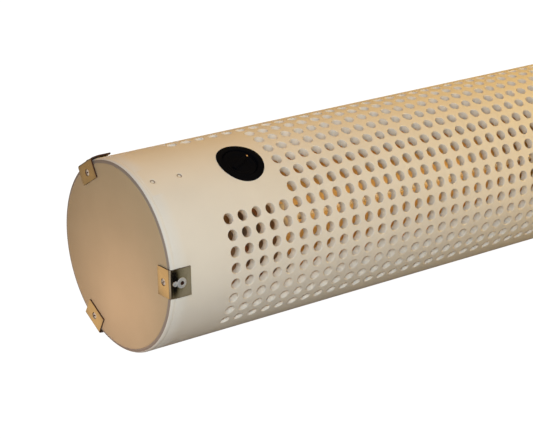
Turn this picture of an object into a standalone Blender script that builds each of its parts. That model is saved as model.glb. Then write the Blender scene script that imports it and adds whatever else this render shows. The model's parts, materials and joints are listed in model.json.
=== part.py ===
"""Tubular heat lamp warmer: a perforated tube closed by two clipped end caps, with a recessed heat control
near the front end and a linear lamp, reflector and power inlet inside.

Frame: X runs along the tube's axis towards its rear end, Z is up, and the origin is the middle of the tube.
Places along the tube are laid out from its front end, and the whole part is moved back by half the tube's
length at the end. An angle on the tube is measured from +Z towards -Y. All sizes are in metres.
Run with: blender --background --python part.py
"""

import math

import bmesh
import bpy
from mathutils import Matrix, Vector

# Tube
TUBE_R = 0.08415
WALL = 0.0071
TUBE_INNER_R = TUBE_R - WALL
TUBE_L = 0.6058

# Perforated window: a grid of columns along X and rows around the tube
HOLE_PITCH = 0.0142875
HOLE_COLUMNS = 35
FIRST_COLUMN_X = (TUBE_L - (HOLE_COLUMNS - 1) * HOLE_PITCH) / 2
HOLE_SIDE = 0.0084
HOLE_ROWS = 15
ROW_STEP = 9.64
WINDOW_ANGLE = 61.9
BLANK_COLUMNS = 5
BLANK_ROWS = range(1, 7)
PLAIN_FACETS = 23

# End caps, clips and their fasteners
GAP = 0.0003
CAP_THICK = 0.0046
CAP_EDGE_R = 0.0042
SPIGOT_DEPTH = 0.0015
CLIP_ANGLES = (330.0, 90.0, 210.0)
CLIP_THICK = 0.0014
CLIP_WIDTH = 0.025
CLIP_LEG_END = 0.0138
CLIP_FLANGE_INNER_R = 0.0672
CLIP_BEND_R = 0.0016
CLIP_BEND_FACETS = 4
CLIP_RIVET_X = 0.0044
CLIP_SCREW_R = 0.0753
RIVET_HEAD_R = 0.0046
RIVET_SHANK_R = 0.0024
SCREW_HEAD_R = 0.0028
SCREW_SHANK_R = 0.0015
CUTTER_REACH = 0.003

# Heat control
CONTROL_X = 0.0968
CONTROL_ANGLE = 29.0
BEZEL_R = 0.0213
BEZEL_PROUD = 0.0009
BEZEL_BLANK = (-0.0040, 0.0030)
CUP_R = 0.0186
CUP_DEPTH = 0.0084
CUP_FLOOR = 0.0014
KNOB_R = 0.0152
KNOB_SUNK = 0.0016
KNOB_THICK = 0.003
KNOB_BORE = 0.0014
DISH_R = 0.0098
DISH_DEPTH = 0.0008
GRIP_BAR = (0.019, 0.0042, 0.0026)
INDEX_TURN = 28.0
INDEX_PLACE_R = 0.0131
INDEX_R = 0.0009
SHAFT_R = 0.003
SHAFT_FOOT_R = 0.0620
BUSH_R = 0.0050
BUSH_CLEAR = 0.0005
NUT_BORE_R = 0.0061
NUT_R = 0.0085
NUT_THICK = 0.0018
REGULATOR_SIDE = 0.032
REGULATOR_DEPTH = 0.022
BRACKET_RIVETS_X = (0.0088, 0.035)
BRACKET_TOP_R = 0.0752
BRACKET_THICK = 0.0016
BRACKET_WIDTH = 0.026
BRACKET_START = 0.0045
BRACKET_BEYOND = 0.018

# Lamp, its holders and the reflector
BACK_ANGLE = WINDOW_ANGLE + 180.0
LAMP_OFFSET = 0.018
LAMP_R = 0.006
FRONT_PLATE_X = 0.1650
REAR_PLATE_X = 0.5450
PLATE_THICK = 0.002
PLATE_R = 0.0763
PLATE_CHORD = 0.004
PLATE_BLOCK = (0.012, 0.014, 0.012)
BRACKET_SCREW_R = 0.0020
BRACKET_SCREW_HEAD_R = 0.0038
BRACKET_SCREW_FOOT_R = 0.0665
HOLDER_SIZE = (0.0227, 0.020, 0.026)
FRONT_BORE = (0.0032, 0.0135, 0.024)
REAR_BORE = (0.0047, -0.001, 0.0175)
LAMP_WALL = 0.001
LAMP_CLEAR = 0.0033
BASE_R = 0.0068
BASE_L = 0.012
FILAMENT_R = 0.0014
CONTACT_R = 0.0028
CONTACT_L = 0.0085
PLUNGER_R = 0.0016
PLUNGER_COLLAR_R = 0.0043
PLUNGER_STEM_R = 0.0020
PLUNGER_STEM_END = 0.0075
REFLECTOR_R = 0.060
REFLECTOR_THICK = 0.001
PLUNGER_SEAT = 0.0030
SPRING_R = 0.0034
SPRING_TURNS = 5
SPRING_WIRE_R = 0.0004
TERMINAL_SIZE = (0.014, 0.030, 0.012)
TERMINAL_OUT_R = 0.042

# Power inlet
INLET_FLANGE = (0.0026, 0.050, 0.024)
INLET_BODY = (0.024, 0.0272, 0.0195)
INLET_CAVITY = (0.018, 0.0235, 0.0160)
INLET_CUTOUT_L = 0.02
INLET_SCREW_Y = 0.020
INLET_SCREW_R = 0.0015
INLET_SCREW_HEAD_R = 0.0029
BLADE_SIZE = (0.0175, 0.0022, 0.0050)
BLADE_PLACES = {"live": (-0.007, -0.002), "neutral": (0.007, -0.002), "earth": (0.0, 0.003)}
BLADE_SUNK = 0.002

# Leads
LEAD_R = 0.0013
LEAD_END = 0.0018
LEAD_RUN_ANGLE = 150.0
LEAD_RUN_R = 0.070
LEAD_BESIDE = 0.006

REAR_FACE = TUBE_L + GAP + CAP_THICK
CUTTER_TURN = 0.11

MATERIALS = {
    "cream_powder_coat": ((0.66, 0.56, 0.40), 0.42, 0.0),
    "polished_steel": ((0.62, 0.60, 0.54), 0.18, 1.0),
    "zinc_steel": ((0.55, 0.55, 0.53), 0.35, 1.0),
    "black_plastic": ((0.006, 0.006, 0.007), 0.25, 0.0),
    "amber_plastic": ((0.75, 0.40, 0.12), 0.30, 0.0),
    "gold_reflector": ((0.90, 0.60, 0.25), 0.20, 1.0),
    "quartz_glass": ((0.95, 0.93, 0.90), 0.03, 0.0),
    "tungsten": ((0.50, 0.45, 0.40), 0.40, 1.0),
    "ceramic": ((0.85, 0.83, 0.78), 0.55, 0.0),
    "brass": ((0.78, 0.57, 0.24), 0.25, 1.0),
    "silicone_lead": ((0.55, 0.12, 0.08), 0.50, 0.0),
}

PART_NAME = "heat_lamp_warmer"


# Scene and materials

def clear_scene():
    for obj in list(bpy.data.objects):
        bpy.data.objects.remove(obj, do_unlink=True)


def new_collection(name):
    collection = bpy.data.collections.new(name)
    bpy.context.scene.collection.children.link(collection)
    return collection


def material_for(node, finish):
    """Each part gets its own material, named for the part, with the finish's values."""
    color, roughness, metallic = MATERIALS[finish]
    material = bpy.data.materials.new(f"{node}_{finish}")
    material.use_nodes = True
    shader = material.node_tree.nodes["Principled BSDF"]
    shader.inputs["Base Color"].default_value = (*color, 1.0)
    shader.inputs["Roughness"].default_value = roughness
    shader.inputs["Metallic"].default_value = metallic
    return material


def add_object(name, mesh, finish=None, matrix=None):
    """Puts a mesh in the part collection, or in the cutter collection when it has no finish."""
    obj = bpy.data.objects.new(name, mesh)
    if finish is None:
        CUTTERS.objects.link(obj)
        obj.hide_render = True
        obj.display_type = "WIRE"
    else:
        PARTS.objects.link(obj)
        obj.data.materials.append(material_for(name, finish))
    if matrix is not None:
        obj.matrix_world = matrix
    return obj


# Placement

def radial(angle):
    """Unit vector across the tube at an angle from +Z towards -Y."""
    turn = math.radians(angle)
    return Vector((0.0, -math.sin(turn), math.cos(turn)))


def out_frame(x, angle, radius=0.0):
    """Frame on the tube: local X along the tube, local Z straight out."""
    out = radial(angle)
    side = out.cross(Vector((1.0, 0.0, 0.0)))
    axes = Matrix((Vector((1.0, 0.0, 0.0)), side, out)).transposed()
    return Matrix.Translation(Vector((x, 0.0, 0.0)) + out * radius) @ axes.to_4x4()


def along_frame(x, y=0.0, z=0.0, facing=1.0):
    """Frame whose local Z points along +X (facing 1) or -X (facing -1)."""
    return Matrix.Translation((x, y, z)) @ Matrix.Rotation(facing * math.pi / 2, 4, "Y")


# Shapes

def bmesh_to_mesh(name, bm):
    bmesh.ops.recalc_face_normals(bm, faces=bm.faces)
    mesh = bpy.data.meshes.new(name)
    bm.to_mesh(mesh)
    bm.free()
    return mesh


def box_mesh(name, size, center=(0.0, 0.0, 0.0)):
    bm = bmesh.new()
    bmesh.ops.create_cube(bm, size=1.0)
    bmesh.ops.scale(bm, vec=size, verts=bm.verts)
    bmesh.ops.translate(bm, vec=center, verts=bm.verts)
    return bmesh_to_mesh(name, bm)


def rod_mesh(name, radius, low, high, segments=12):
    """Cylinder along local Z from low to high."""
    bm = bmesh.new()
    bmesh.ops.create_cone(
        bm, cap_ends=True, segments=segments, radius1=radius, radius2=radius, depth=high - low,
    )
    bmesh.ops.translate(bm, vec=(0.0, 0.0, (low + high) / 2), verts=bm.verts)
    return bmesh_to_mesh(name, bm)


def turned(name, profile, finish, matrix, steps=24, ring=False):
    """Turns a profile of (radius, height) points, given from the top down the outer side, about local Z.
    A ring's profile is a closed loop that stays off the axis."""
    mesh = bpy.data.meshes.new(name)
    points = [(radius, 0.0, height) for radius, height in profile]
    links = [(i, i + 1) for i in range(len(points) - 1)]
    if ring:
        links.append((len(points) - 1, 0))
    mesh.from_pydata(points, links, [])
    obj = add_object(name, mesh, finish, matrix)
    screw = obj.modifiers.new("turn", "SCREW")
    screw.steps = steps
    screw.render_steps = steps
    screw.use_merge_vertices = True
    screw.merge_threshold = 0.00001
    return obj


def edge_arc(radius, top, bend, points=3):
    """Quarter round from the flat top of a disc to its side, as (radius, height) points."""
    arc = []
    for i in range(points + 1):
        turn = math.pi / 2 * i / points
        arc.append((radius - bend + bend * math.sin(turn), top - bend + bend * math.cos(turn)))
    return arc


def cut(obj, cutter, operation="DIFFERENCE"):
    boolean = obj.modifiers.new(operation.lower(), "BOOLEAN")
    boolean.operation = operation
    boolean.solver = "EXACT"
    boolean.object = cutter


def drill(obj, name, radius, low, high, matrix, segments=8):
    """Cuts a round hole along the matrix's local Z. The cutter is turned a little, so that its corners stay
    off the edges of what it cuts."""
    turn = Matrix.Rotation(CUTTER_TURN, 4, "Z")
    cut(obj, add_object(name, rod_mesh(name, radius, low, high, segments), None, matrix @ turn))


def lead(name, points, radius, finish):
    """Insulated wire through a list of points."""
    curve = bpy.data.curves.new(name, "CURVE")
    curve.dimensions = "3D"
    curve.bevel_depth = radius
    curve.bevel_resolution = 2
    curve.use_fill_caps = True
    spline = curve.splines.new("POLY")
    spline.points.add(len(points) - 1)
    for point, place in zip(spline.points, points):
        point.co = (*place, 1.0)
    return add_object(name, curve, finish)


# Tube

def strip_edges():
    """Angles of the facet edges round the tube: a strip for each row, one between rows, the plain back."""
    half = math.degrees(HOLE_SIDE / 2 / TUBE_R)
    first = WINDOW_ANGLE - (HOLE_ROWS - 1) / 2 * ROW_STEP
    edges = []
    for row in range(HOLE_ROWS):
        edges += [first + row * ROW_STEP - half, first + row * ROW_STEP + half]
    plain = edges[0] + 360.0 - edges[-1]
    edges += [edges[-1] + plain * i / PLAIN_FACETS for i in range(1, PLAIN_FACETS + 1)]
    return edges


def column_edges():
    """Places along X of the edges of the hole columns, with the tube's two ends."""
    edges = [0.0]
    for column in range(HOLE_COLUMNS):
        middle = FIRST_COLUMN_X + column * HOLE_PITCH
        edges += [middle - HOLE_SIDE / 2, middle + HOLE_SIDE / 2]
    return edges + [TUBE_L]


def is_hole(column, row):
    return not (column < BLANK_COLUMNS and row in BLANK_ROWS)


def make_tube_shell():
    """A flat grid rolled into a cylinder, with the hole cells left out and the wall added by Solidify."""
    across, along = column_edges(), strip_edges()
    bm = bmesh.new()
    bmesh.ops.create_grid(bm, x_segments=len(across) - 1, y_segments=len(along) - 1, size=1.0)
    rows, columns = len(along) - 1, len(across) - 1
    holes = []
    for face in bm.faces:
        middle = face.calc_center_median()
        i = int((middle.x + 1.0) / 2 * columns)
        j = int((middle.y + 1.0) / 2 * rows)
        in_row = j % 2 == 0 and j // 2 < HOLE_ROWS
        if i % 2 == 1 and in_row and is_hole(i // 2, j // 2):
            holes.append(face)
    bmesh.ops.delete(bm, geom=holes, context="FACES")
    for vert in bm.verts:
        i = round((vert.co.x + 1.0) / 2 * columns)
        j = round((vert.co.y + 1.0) / 2 * rows)
        vert.co = Vector((across[i], 0.0, 0.0)) + radial(along[j]) * TUBE_R
    bmesh.ops.remove_doubles(bm, verts=bm.verts, dist=0.00001)
    mesh = bmesh_to_mesh("tube_shell", bm)
    shell = add_object("tube_shell", mesh, "cream_powder_coat")
    wall = shell.modifiers.new("wall", "SOLIDIFY")
    wall.thickness = WALL
    wall.offset = -1.0
    wall.use_even_offset = False
    drill_tube(shell)


def drill_tube(shell):
    """Holes for the control, its bracket's rivets, the clips' rivets and the lamp brackets' screws."""
    inside, outside = TUBE_INNER_R - CUTTER_REACH, TUBE_R + CUTTER_REACH
    control = out_frame(CONTROL_X, CONTROL_ANGLE)
    drill(shell, "control_hole_cutter", CUP_R + 2 * GAP, inside, outside, control, 24)
    for i, x in enumerate(BRACKET_RIVETS_X):
        place = out_frame(x, CONTROL_ANGLE)
        drill(shell, f"bracket_hole_cutter_{i}", RIVET_SHANK_R + GAP, inside, outside, place)
    for i, angle in enumerate(CLIP_ANGLES):
        for end, x in (("front", CLIP_RIVET_X), ("rear", TUBE_L - CLIP_RIVET_X)):
            drill(shell, f"{end}_clip_hole_cutter_{i}", RIVET_SHANK_R + GAP, inside, outside,
                  out_frame(x, angle))
    for i, x in enumerate(bracket_screw_places()):
        drill(shell, f"lamp_bracket_hole_cutter_{i}", BRACKET_SCREW_R + GAP, inside, outside,
              out_frame(x, BACK_ANGLE))


# End caps and clips

def cap_frame(end):
    """Frame of an end: local Z points out of that end and its origin is on the tube's end plane."""
    if end == "front":
        return along_frame(0.0, facing=-1.0)
    return along_frame(TUBE_L, facing=1.0)


def make_end_cap(end):
    """Disc with a rounded outer edge and a shallow spigot that centres it in the tube."""
    spigot_r = TUBE_INNER_R - 3 * GAP
    top = GAP + CAP_THICK
    profile = [(0.0, top)] + edge_arc(TUBE_R, top, CAP_EDGE_R)
    profile += [(TUBE_R, GAP), (spigot_r, GAP), (spigot_r, -SPIGOT_DEPTH), (0.0, -SPIGOT_DEPTH)]
    cap = turned(f"{end}_end_cap", profile, "cream_powder_coat", cap_frame(end), 40)
    for i, angle in enumerate(CLIP_ANGLES):
        drill(cap, f"{end}_cap_hole_cutter_{i}", SCREW_SHANK_R + GAP, -CUTTER_REACH, top + CUTTER_REACH,
              clip_screw_frame(end, angle))


def clip_screw_frame(end, angle):
    """Frame of a clip's screw: local Z points out of the end, its origin is on the tube's end plane."""
    place = cap_frame(end)
    return Matrix.Translation(radial(angle) * CLIP_SCREW_R) @ place


def clip_section():
    """Inner outline of the bent clip, from the flange's free end to the leg's, as (along, out) points.
    Along is measured out of the tube's end, so the leg runs to negative values."""
    flange = GAP + CAP_THICK + GAP
    leg = TUBE_R + GAP
    section = [(flange, CLIP_FLANGE_INNER_R)]
    for i in range(CLIP_BEND_FACETS + 1):
        turn = math.pi / 2 * i / CLIP_BEND_FACETS
        along, out = flange - CLIP_BEND_R * (1 - math.cos(turn)), leg - CLIP_BEND_R * (1 - math.sin(turn))
        section.append((along, out))
    return section + [(-CLIP_LEG_END, leg)]


def make_clip(end, number, angle):
    """Bent strip over the tube's end, with a rivet hole in its leg and a screw hole in its flange."""
    name = f"{end}_clip_{number}"
    toward = -1.0 if end == "front" else 1.0
    bm = bmesh.new()
    rails = []
    for side in (-CLIP_WIDTH / 2, CLIP_WIDTH / 2):
        rails.append([bm.verts.new((toward * along, side, out)) for along, out in clip_section()])
    for i in range(len(rails[0]) - 1):
        bm.faces.new((rails[0][i], rails[0][i + 1], rails[1][i + 1], rails[1][i]))
    mesh = bmesh_to_mesh(name, bm)
    for polygon in mesh.polygons:
        if polygon.normal.z + polygon.normal.x * toward < 0.0:
            polygon.flip()
    base = 0.0 if end == "front" else TUBE_L
    clip = add_object(name, mesh, "polished_steel", out_frame(base, angle))
    sheet = clip.modifiers.new("sheet", "SOLIDIFY")
    sheet.thickness = CLIP_THICK
    sheet.offset = 1.0
    sheet.use_even_offset = True
    rivet_x = CLIP_RIVET_X if end == "front" else TUBE_L - CLIP_RIVET_X
    drill(clip, f"{name}_rivet_cutter", RIVET_SHANK_R + GAP, TUBE_R, TUBE_R + CUTTER_REACH,
          out_frame(rivet_x, angle))
    low = GAP + CAP_THICK
    drill(clip, f"{name}_screw_cutter", SCREW_HEAD_R + GAP, low, low + CUTTER_REACH,
          clip_screw_frame(end, angle), 12)


def make_clip_rivet(end, number, angle):
    """Domed hollow rivet through the clip's leg and the tube wall."""
    x = CLIP_RIVET_X if end == "front" else TUBE_L - CLIP_RIVET_X
    seat = TUBE_R + 2 * GAP + CLIP_THICK
    profile = [
        (0.0, seat + 0.0003), (0.0012, seat + 0.0003), (0.0014, seat + 0.0012), (0.0026, seat + 0.0012),
        (0.0039, seat + 0.0008), (RIVET_HEAD_R, seat), (RIVET_SHANK_R, seat),
        (RIVET_SHANK_R, TUBE_INNER_R - 0.001), (0.0, TUBE_INNER_R - 0.001),
    ]
    turned(f"{end}_clip_rivet_{number}", profile, "polished_steel", out_frame(x, angle), 12)


def make_clip_screw(end, number, angle):
    """Flush screw in the clip's flange, threaded into the end cap."""
    top = GAP + CAP_THICK + GAP + CLIP_THICK - 0.0001
    under = GAP + CAP_THICK + GAP
    profile = [
        (0.0, top - 0.0007), (0.0008, top - 0.0007), (0.0009, top), (SCREW_HEAD_R, top),
        (SCREW_HEAD_R, under), (SCREW_SHANK_R, under), (SCREW_SHANK_R, -0.001), (0.0, -0.001),
    ]
    turned(f"{end}_clip_screw_{number}", profile, "polished_steel", clip_screw_frame(end, angle), 12)


def make_ends():
    for end in ("front", "rear"):
        make_end_cap(end)
        for number, angle in enumerate(CLIP_ANGLES, start=1):
            make_clip(end, number, angle)
            make_clip_rivet(end, number, angle)
            make_clip_screw(end, number, angle)


# Heat control

def saddle(name, radius):
    """Length of a cylinder on the tube's axis, past both sides of the bezel."""
    half = BEZEL_R * 1.4
    length = rod_mesh(name, radius, CONTROL_X - half, CONTROL_X + half, 90)
    return add_object(name, length, None, along_frame(0.0))


def make_bezel():
    """Thin flange that follows the tube like a saddle, joined to the cup that hangs in the tube's hole."""
    place = out_frame(CONTROL_X, CONTROL_ANGLE)
    under, above = (TUBE_R + height for height in BEZEL_BLANK)
    bore, hole = KNOB_R + 2 * GAP, BUSH_R + BUSH_CLEAR
    opening = bore + GAP
    ring = [(opening, above), (BEZEL_R, above), (BEZEL_R, under), (opening, under)]
    bezel = turned("control_bezel", ring, "black_plastic", place, ring=True)
    cut(bezel, saddle("saddle_cutter", TUBE_R + GAP))
    floor, rim = TUBE_R - CUP_DEPTH, above - GAP
    cup = [(bore, rim), (CUP_R, rim), (CUP_R, floor), (hole, floor), (hole, floor + CUP_FLOOR),
           (bore, floor + CUP_FLOOR)]
    cut(bezel, turned("bezel_cup", cup, None, place, ring=True), "UNION")
    cut(bezel, saddle("saddle_top", TUBE_R + BEZEL_PROUD), "INTERSECT")


def control_axis():
    """Empty on the knob's axis: it carries everything that turns with the knob."""
    axis = bpy.data.objects.new("control_axis", None)
    PARTS.objects.link(axis)
    axis.matrix_world = out_frame(CONTROL_X, CONTROL_ANGLE, TUBE_R)
    return axis


def hang_on(obj, parent):
    place = obj.matrix_world.copy()
    obj.parent = parent
    obj.matrix_parent_inverse = parent.matrix_world.inverted()
    obj.matrix_basis = place


def make_knob(axis):
    """Low dial with a grip bar across it, a bore for the shaft and a pocket for the index dot."""
    place = out_frame(CONTROL_X, CONTROL_ANGLE) @ Matrix.Rotation(math.radians(INDEX_TURN), 4, "Z")
    top = TUBE_R - KNOB_SUNK
    base = top - KNOB_THICK
    dish = top - DISH_DEPTH
    profile = [(0.0, dish), (DISH_R, dish), (DISH_R + DISH_DEPTH, top), (KNOB_R - DISH_DEPTH, top),
               (KNOB_R, dish), (KNOB_R, base), (0.0, base)]
    knob = turned("control_knob", profile, "black_plastic", place)
    cut(knob, add_object("grip_bar", box_mesh("grip_bar", GRIP_BAR, (0.0, 0.0, top)), None, place), "UNION")
    bore_end = base + KNOB_BORE
    drill(knob, "shaft_bore_cutter", SHAFT_R + GAP, base - CUTTER_REACH, bore_end, place, 12)
    index_place = place @ Matrix.Translation((INDEX_PLACE_R, 0.0, 0.0))
    drill(knob, "index_pocket_cutter", INDEX_R + GAP, dish, top + CUTTER_REACH, index_place)
    hang_on(knob, axis)
    dot = rod_mesh("knob_index", INDEX_R, dish + GAP, top + GAP, 8)
    hang_on(add_object("knob_index", dot, "amber_plastic", index_place), axis)
    shaft = rod_mesh("control_shaft", SHAFT_R, SHAFT_FOOT_R, bore_end - GAP, 12)
    hang_on(add_object("control_shaft", shaft, "zinc_steel", place), axis)


def make_regulator():
    """Energy regulator under the bracket, with a bush that comes up through the bezel's cup."""
    place = out_frame(CONTROL_X, CONTROL_ANGLE)
    top = BRACKET_TOP_R - BRACKET_THICK - GAP
    size = (REGULATOR_SIDE, REGULATOR_SIDE, REGULATOR_DEPTH)
    body = box_mesh("heat_regulator", size, (0.0, 0.0, top - REGULATOR_DEPTH / 2))
    regulator = add_object("heat_regulator", body, "black_plastic", place)
    bush_top = TUBE_R - KNOB_SUNK - KNOB_THICK - GAP
    bush = rod_mesh("regulator_bush", BUSH_R, top - GAP, bush_top, 12)
    cut(regulator, add_object("regulator_bush", bush, None, place), "UNION")
    drill(regulator, "regulator_bore_cutter", SHAFT_R + GAP, SHAFT_FOOT_R - 0.002, TUBE_R, place, 12)
    seat = TUBE_R - CUP_DEPTH + CUP_FLOOR + GAP
    hexagon = [(NUT_BORE_R, seat + NUT_THICK), (NUT_R, seat + NUT_THICK), (NUT_R, seat), (NUT_BORE_R, seat)]
    turned("control_nut", hexagon, "zinc_steel", place, 6, ring=True)


def make_control_bracket():
    """Strip along the inside of the wall, riveted near the tube's end, that carries the regulator."""
    place = out_frame(0.0, CONTROL_ANGLE, BRACKET_TOP_R)
    start, stop = BRACKET_START, CONTROL_X + BRACKET_BEYOND
    strip = box_mesh("control_bracket", (stop - start, BRACKET_WIDTH, BRACKET_THICK),
                     ((start + stop) / 2, 0.0, -BRACKET_THICK / 2))
    bracket = add_object("control_bracket", strip, "zinc_steel", place)
    drill(bracket, "bush_hole_cutter", BUSH_R + GAP, -CUTTER_REACH, CUTTER_REACH,
          place @ Matrix.Translation((CONTROL_X, 0, 0)), 12)
    foot = BRACKET_TOP_R - BRACKET_THICK - GAP
    head, foot_r, foot_end = TUBE_R - 0.0002, RIVET_SHANK_R * 1.5, foot - 0.0014
    for number, x in enumerate(BRACKET_RIVETS_X, start=1):
        drill(bracket, f"bracket_rivet_cutter_{number}", RIVET_SHANK_R + GAP, -CUTTER_REACH, CUTTER_REACH,
              place @ Matrix.Translation((x, 0, 0)))
        profile = [(0.0, head), (RIVET_SHANK_R, head), (RIVET_SHANK_R, foot), (foot_r, foot),
                   (foot_r, foot_end), (0.0, foot_end)]
        turned(f"bracket_rivet_{number}", profile, "cream_powder_coat", out_frame(x, CONTROL_ANGLE), 12)


# Lamp and reflector

def bracket_screw_places():
    """X of the screws that fix the two lamp brackets through the back of the tube."""
    return FRONT_PLATE_X - 0.006, REAR_PLATE_X + PLATE_THICK + 0.006


def make_lamp_bracket(end):
    """Segment-shaped plate across the back of the tube, with a block for its fixing screw."""
    x = FRONT_PLATE_X if end == "front" else REAR_PLATE_X
    half = math.degrees(math.acos(PLATE_CHORD / PLATE_R))
    bm = bmesh.new()
    outline = []
    for i in range(17):
        turn = math.radians(-half + 2 * half * i / 16)
        outline.append(bm.verts.new((0.0, PLATE_R * math.sin(turn), PLATE_R * math.cos(turn))))
    face = bm.faces.new(outline)
    grown = bmesh.ops.extrude_face_region(bm, geom=[face])
    moved = [item for item in grown["geom"] if isinstance(item, bmesh.types.BMVert)]
    bmesh.ops.translate(bm, vec=(PLATE_THICK, 0.0, 0.0), verts=moved)
    name = f"lamp_bracket_{end}"
    place = out_frame(x, BACK_ANGLE)
    bracket = add_object(name, bmesh_to_mesh(name, bm), "zinc_steel", place)
    beside = PLATE_BLOCK[0] / 2 - GAP
    middle = -beside if end == "front" else PLATE_THICK + beside
    block = box_mesh(f"{name}_block", PLATE_BLOCK, (middle, 0.0, PLATE_R - GAP - PLATE_BLOCK[2] / 2))
    cut(bracket, add_object(f"{name}_block", block, None, place), "UNION")
    screw_x = bracket_screw_places()[0 if end == "front" else 1]
    foot = BRACKET_SCREW_FOOT_R
    drill(bracket, f"{name}_screw_cutter", BRACKET_SCREW_R + GAP, foot - GAP, TUBE_R,
          out_frame(screw_x, BACK_ANGLE))
    seat = TUBE_R + GAP
    profile = [(0.0, seat + 0.0018), (0.8 * BRACKET_SCREW_HEAD_R, seat + 0.0014),
               (BRACKET_SCREW_HEAD_R, seat), (BRACKET_SCREW_R, seat), (BRACKET_SCREW_R, foot), (0.0, foot)]
    turned(f"bracket_screw_{end}", profile, "zinc_steel", out_frame(screw_x, BACK_ANGLE), 12)


def make_reflector():
    """Half-round sheet behind the lamp, caught between the two lamp brackets."""
    start, stop = FRONT_PLATE_X + PLATE_THICK + GAP, REAR_PLATE_X - GAP
    bm = bmesh.new()
    rails = []
    for x in (start, stop):
        rails.append([bm.verts.new(Vector((x, 0, 0)) + radial(BACK_ANGLE - 75 + 150 * i / 16) * REFLECTOR_R)
                      for i in range(17)])
    for i in range(16):
        bm.faces.new((rails[0][i], rails[0][i + 1], rails[1][i + 1], rails[1][i]))
    reflector = add_object("reflector", bmesh_to_mesh("reflector", bm), "gold_reflector")
    sheet = reflector.modifiers.new("sheet", "SOLIDIFY")
    sheet.thickness = REFLECTOR_THICK
    sheet.offset = 0.0


def lamp_frame(x):
    """Frame on the lamp's own axis, local Z along +X."""
    offset = radial(BACK_ANGLE) * LAMP_OFFSET
    return along_frame(x, offset.y, offset.z)


def holder_box(end):
    """X range of a lamp holder, between its bracket and the lamp."""
    if end == "front":
        start = FRONT_PLATE_X + PLATE_THICK + GAP
        return start, start + HOLDER_SIZE[0]
    stop = REAR_PLATE_X - GAP
    return stop - HOLDER_SIZE[0], stop


def make_holder(end):
    """Ceramic block with a bore for its contact, open towards the lamp."""
    start, stop = holder_box(end)
    block = box_mesh(f"lamp_holder_{end}", HOLDER_SIZE, (0.0, 0.0, LAMP_OFFSET))
    holder = add_object(f"lamp_holder_{end}", block, "ceramic", out_frame((start + stop) / 2, BACK_ANGLE))
    bore = REAR_BORE if end == "rear" else FRONT_BORE
    drill(holder, f"lamp_holder_{end}_cutter", *bore, lamp_frame(start), 12)


def make_contacts():
    """Fixed front contact, and the rear contact that slides back against its spring to free the lamp."""
    front_stop = holder_box("front")[1]
    rear_start = holder_box("rear")[0]
    tip = LAMP_CLEAR - GAP
    fixed = [(0.0, tip), (CONTACT_R - 0.001, tip - 0.0004), (CONTACT_R, tip - 0.002), (CONTACT_R, -CONTACT_L),
             (0.0, -CONTACT_L)]
    turned("fixed_contact", fixed, "brass", lamp_frame(front_stop), 12)
    plunger = [(0.0, PLUNGER_STEM_END), (PLUNGER_STEM_R, PLUNGER_STEM_END), (PLUNGER_STEM_R, PLUNGER_SEAT),
               (PLUNGER_COLLAR_R, PLUNGER_SEAT), (PLUNGER_COLLAR_R, 0.0005), (PLUNGER_R, 0.0005),
               (PLUNGER_R, 0.0006 - tip), (PLUNGER_R / 2, -tip), (0.0, -tip)]
    turned("contact_plunger", plunger, "brass", lamp_frame(rear_start), 12)
    make_spring(rear_start)


def make_spring(rear_start):
    """Compression spring behind the plunger's collar."""
    clear = SPRING_WIRE_R + GAP
    low, high = PLUNGER_SEAT + clear, REAR_BORE[2] - clear
    steps = SPRING_TURNS * 8
    frame = lamp_frame(rear_start)
    points = []
    for i in range(steps + 1):
        turn = 2 * math.pi * SPRING_TURNS * i / steps
        height = low + (high - low) * i / steps
        points.append(frame @ Vector((SPRING_R * math.cos(turn), SPRING_R * math.sin(turn), height)))
    lead("contact_spring", points, SPRING_WIRE_R, "zinc_steel")


def make_lamp():
    """Quartz tube open at its ends, with the filament inside and a ceramic base on each end."""
    front, rear = holder_box("front")[1] + LAMP_CLEAR, holder_box("rear")[0] - LAMP_CLEAR
    for end, x, facing in (("front", front, 1.0), ("rear", rear, -1.0)):
        place = lamp_frame(x) if facing > 0 else lamp_frame(x) @ Matrix.Rotation(math.pi, 4, "X")
        profile = [(0.0, BASE_L), (BASE_R - 0.0023, BASE_L), (BASE_R, BASE_L - 0.002), (BASE_R, 0.0),
                   (0.0, 0.0)]
        turned(f"lamp_base_{end}", profile, "ceramic", place, 12)
    low, high = front + BASE_L + GAP, rear - BASE_L - GAP
    inner = LAMP_R - LAMP_WALL
    wall = [(inner, high - low), (LAMP_R, high - low), (LAMP_R, 0.0), (inner, 0.0)]
    turned("lamp_tube", wall, "quartz_glass", lamp_frame(low), 16, ring=True)
    filament = rod_mesh("lamp_filament", FILAMENT_R, GAP, high - low - GAP, 8)
    add_object("lamp_filament", filament, "tungsten", lamp_frame(low))


# Power inlet and wiring

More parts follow.
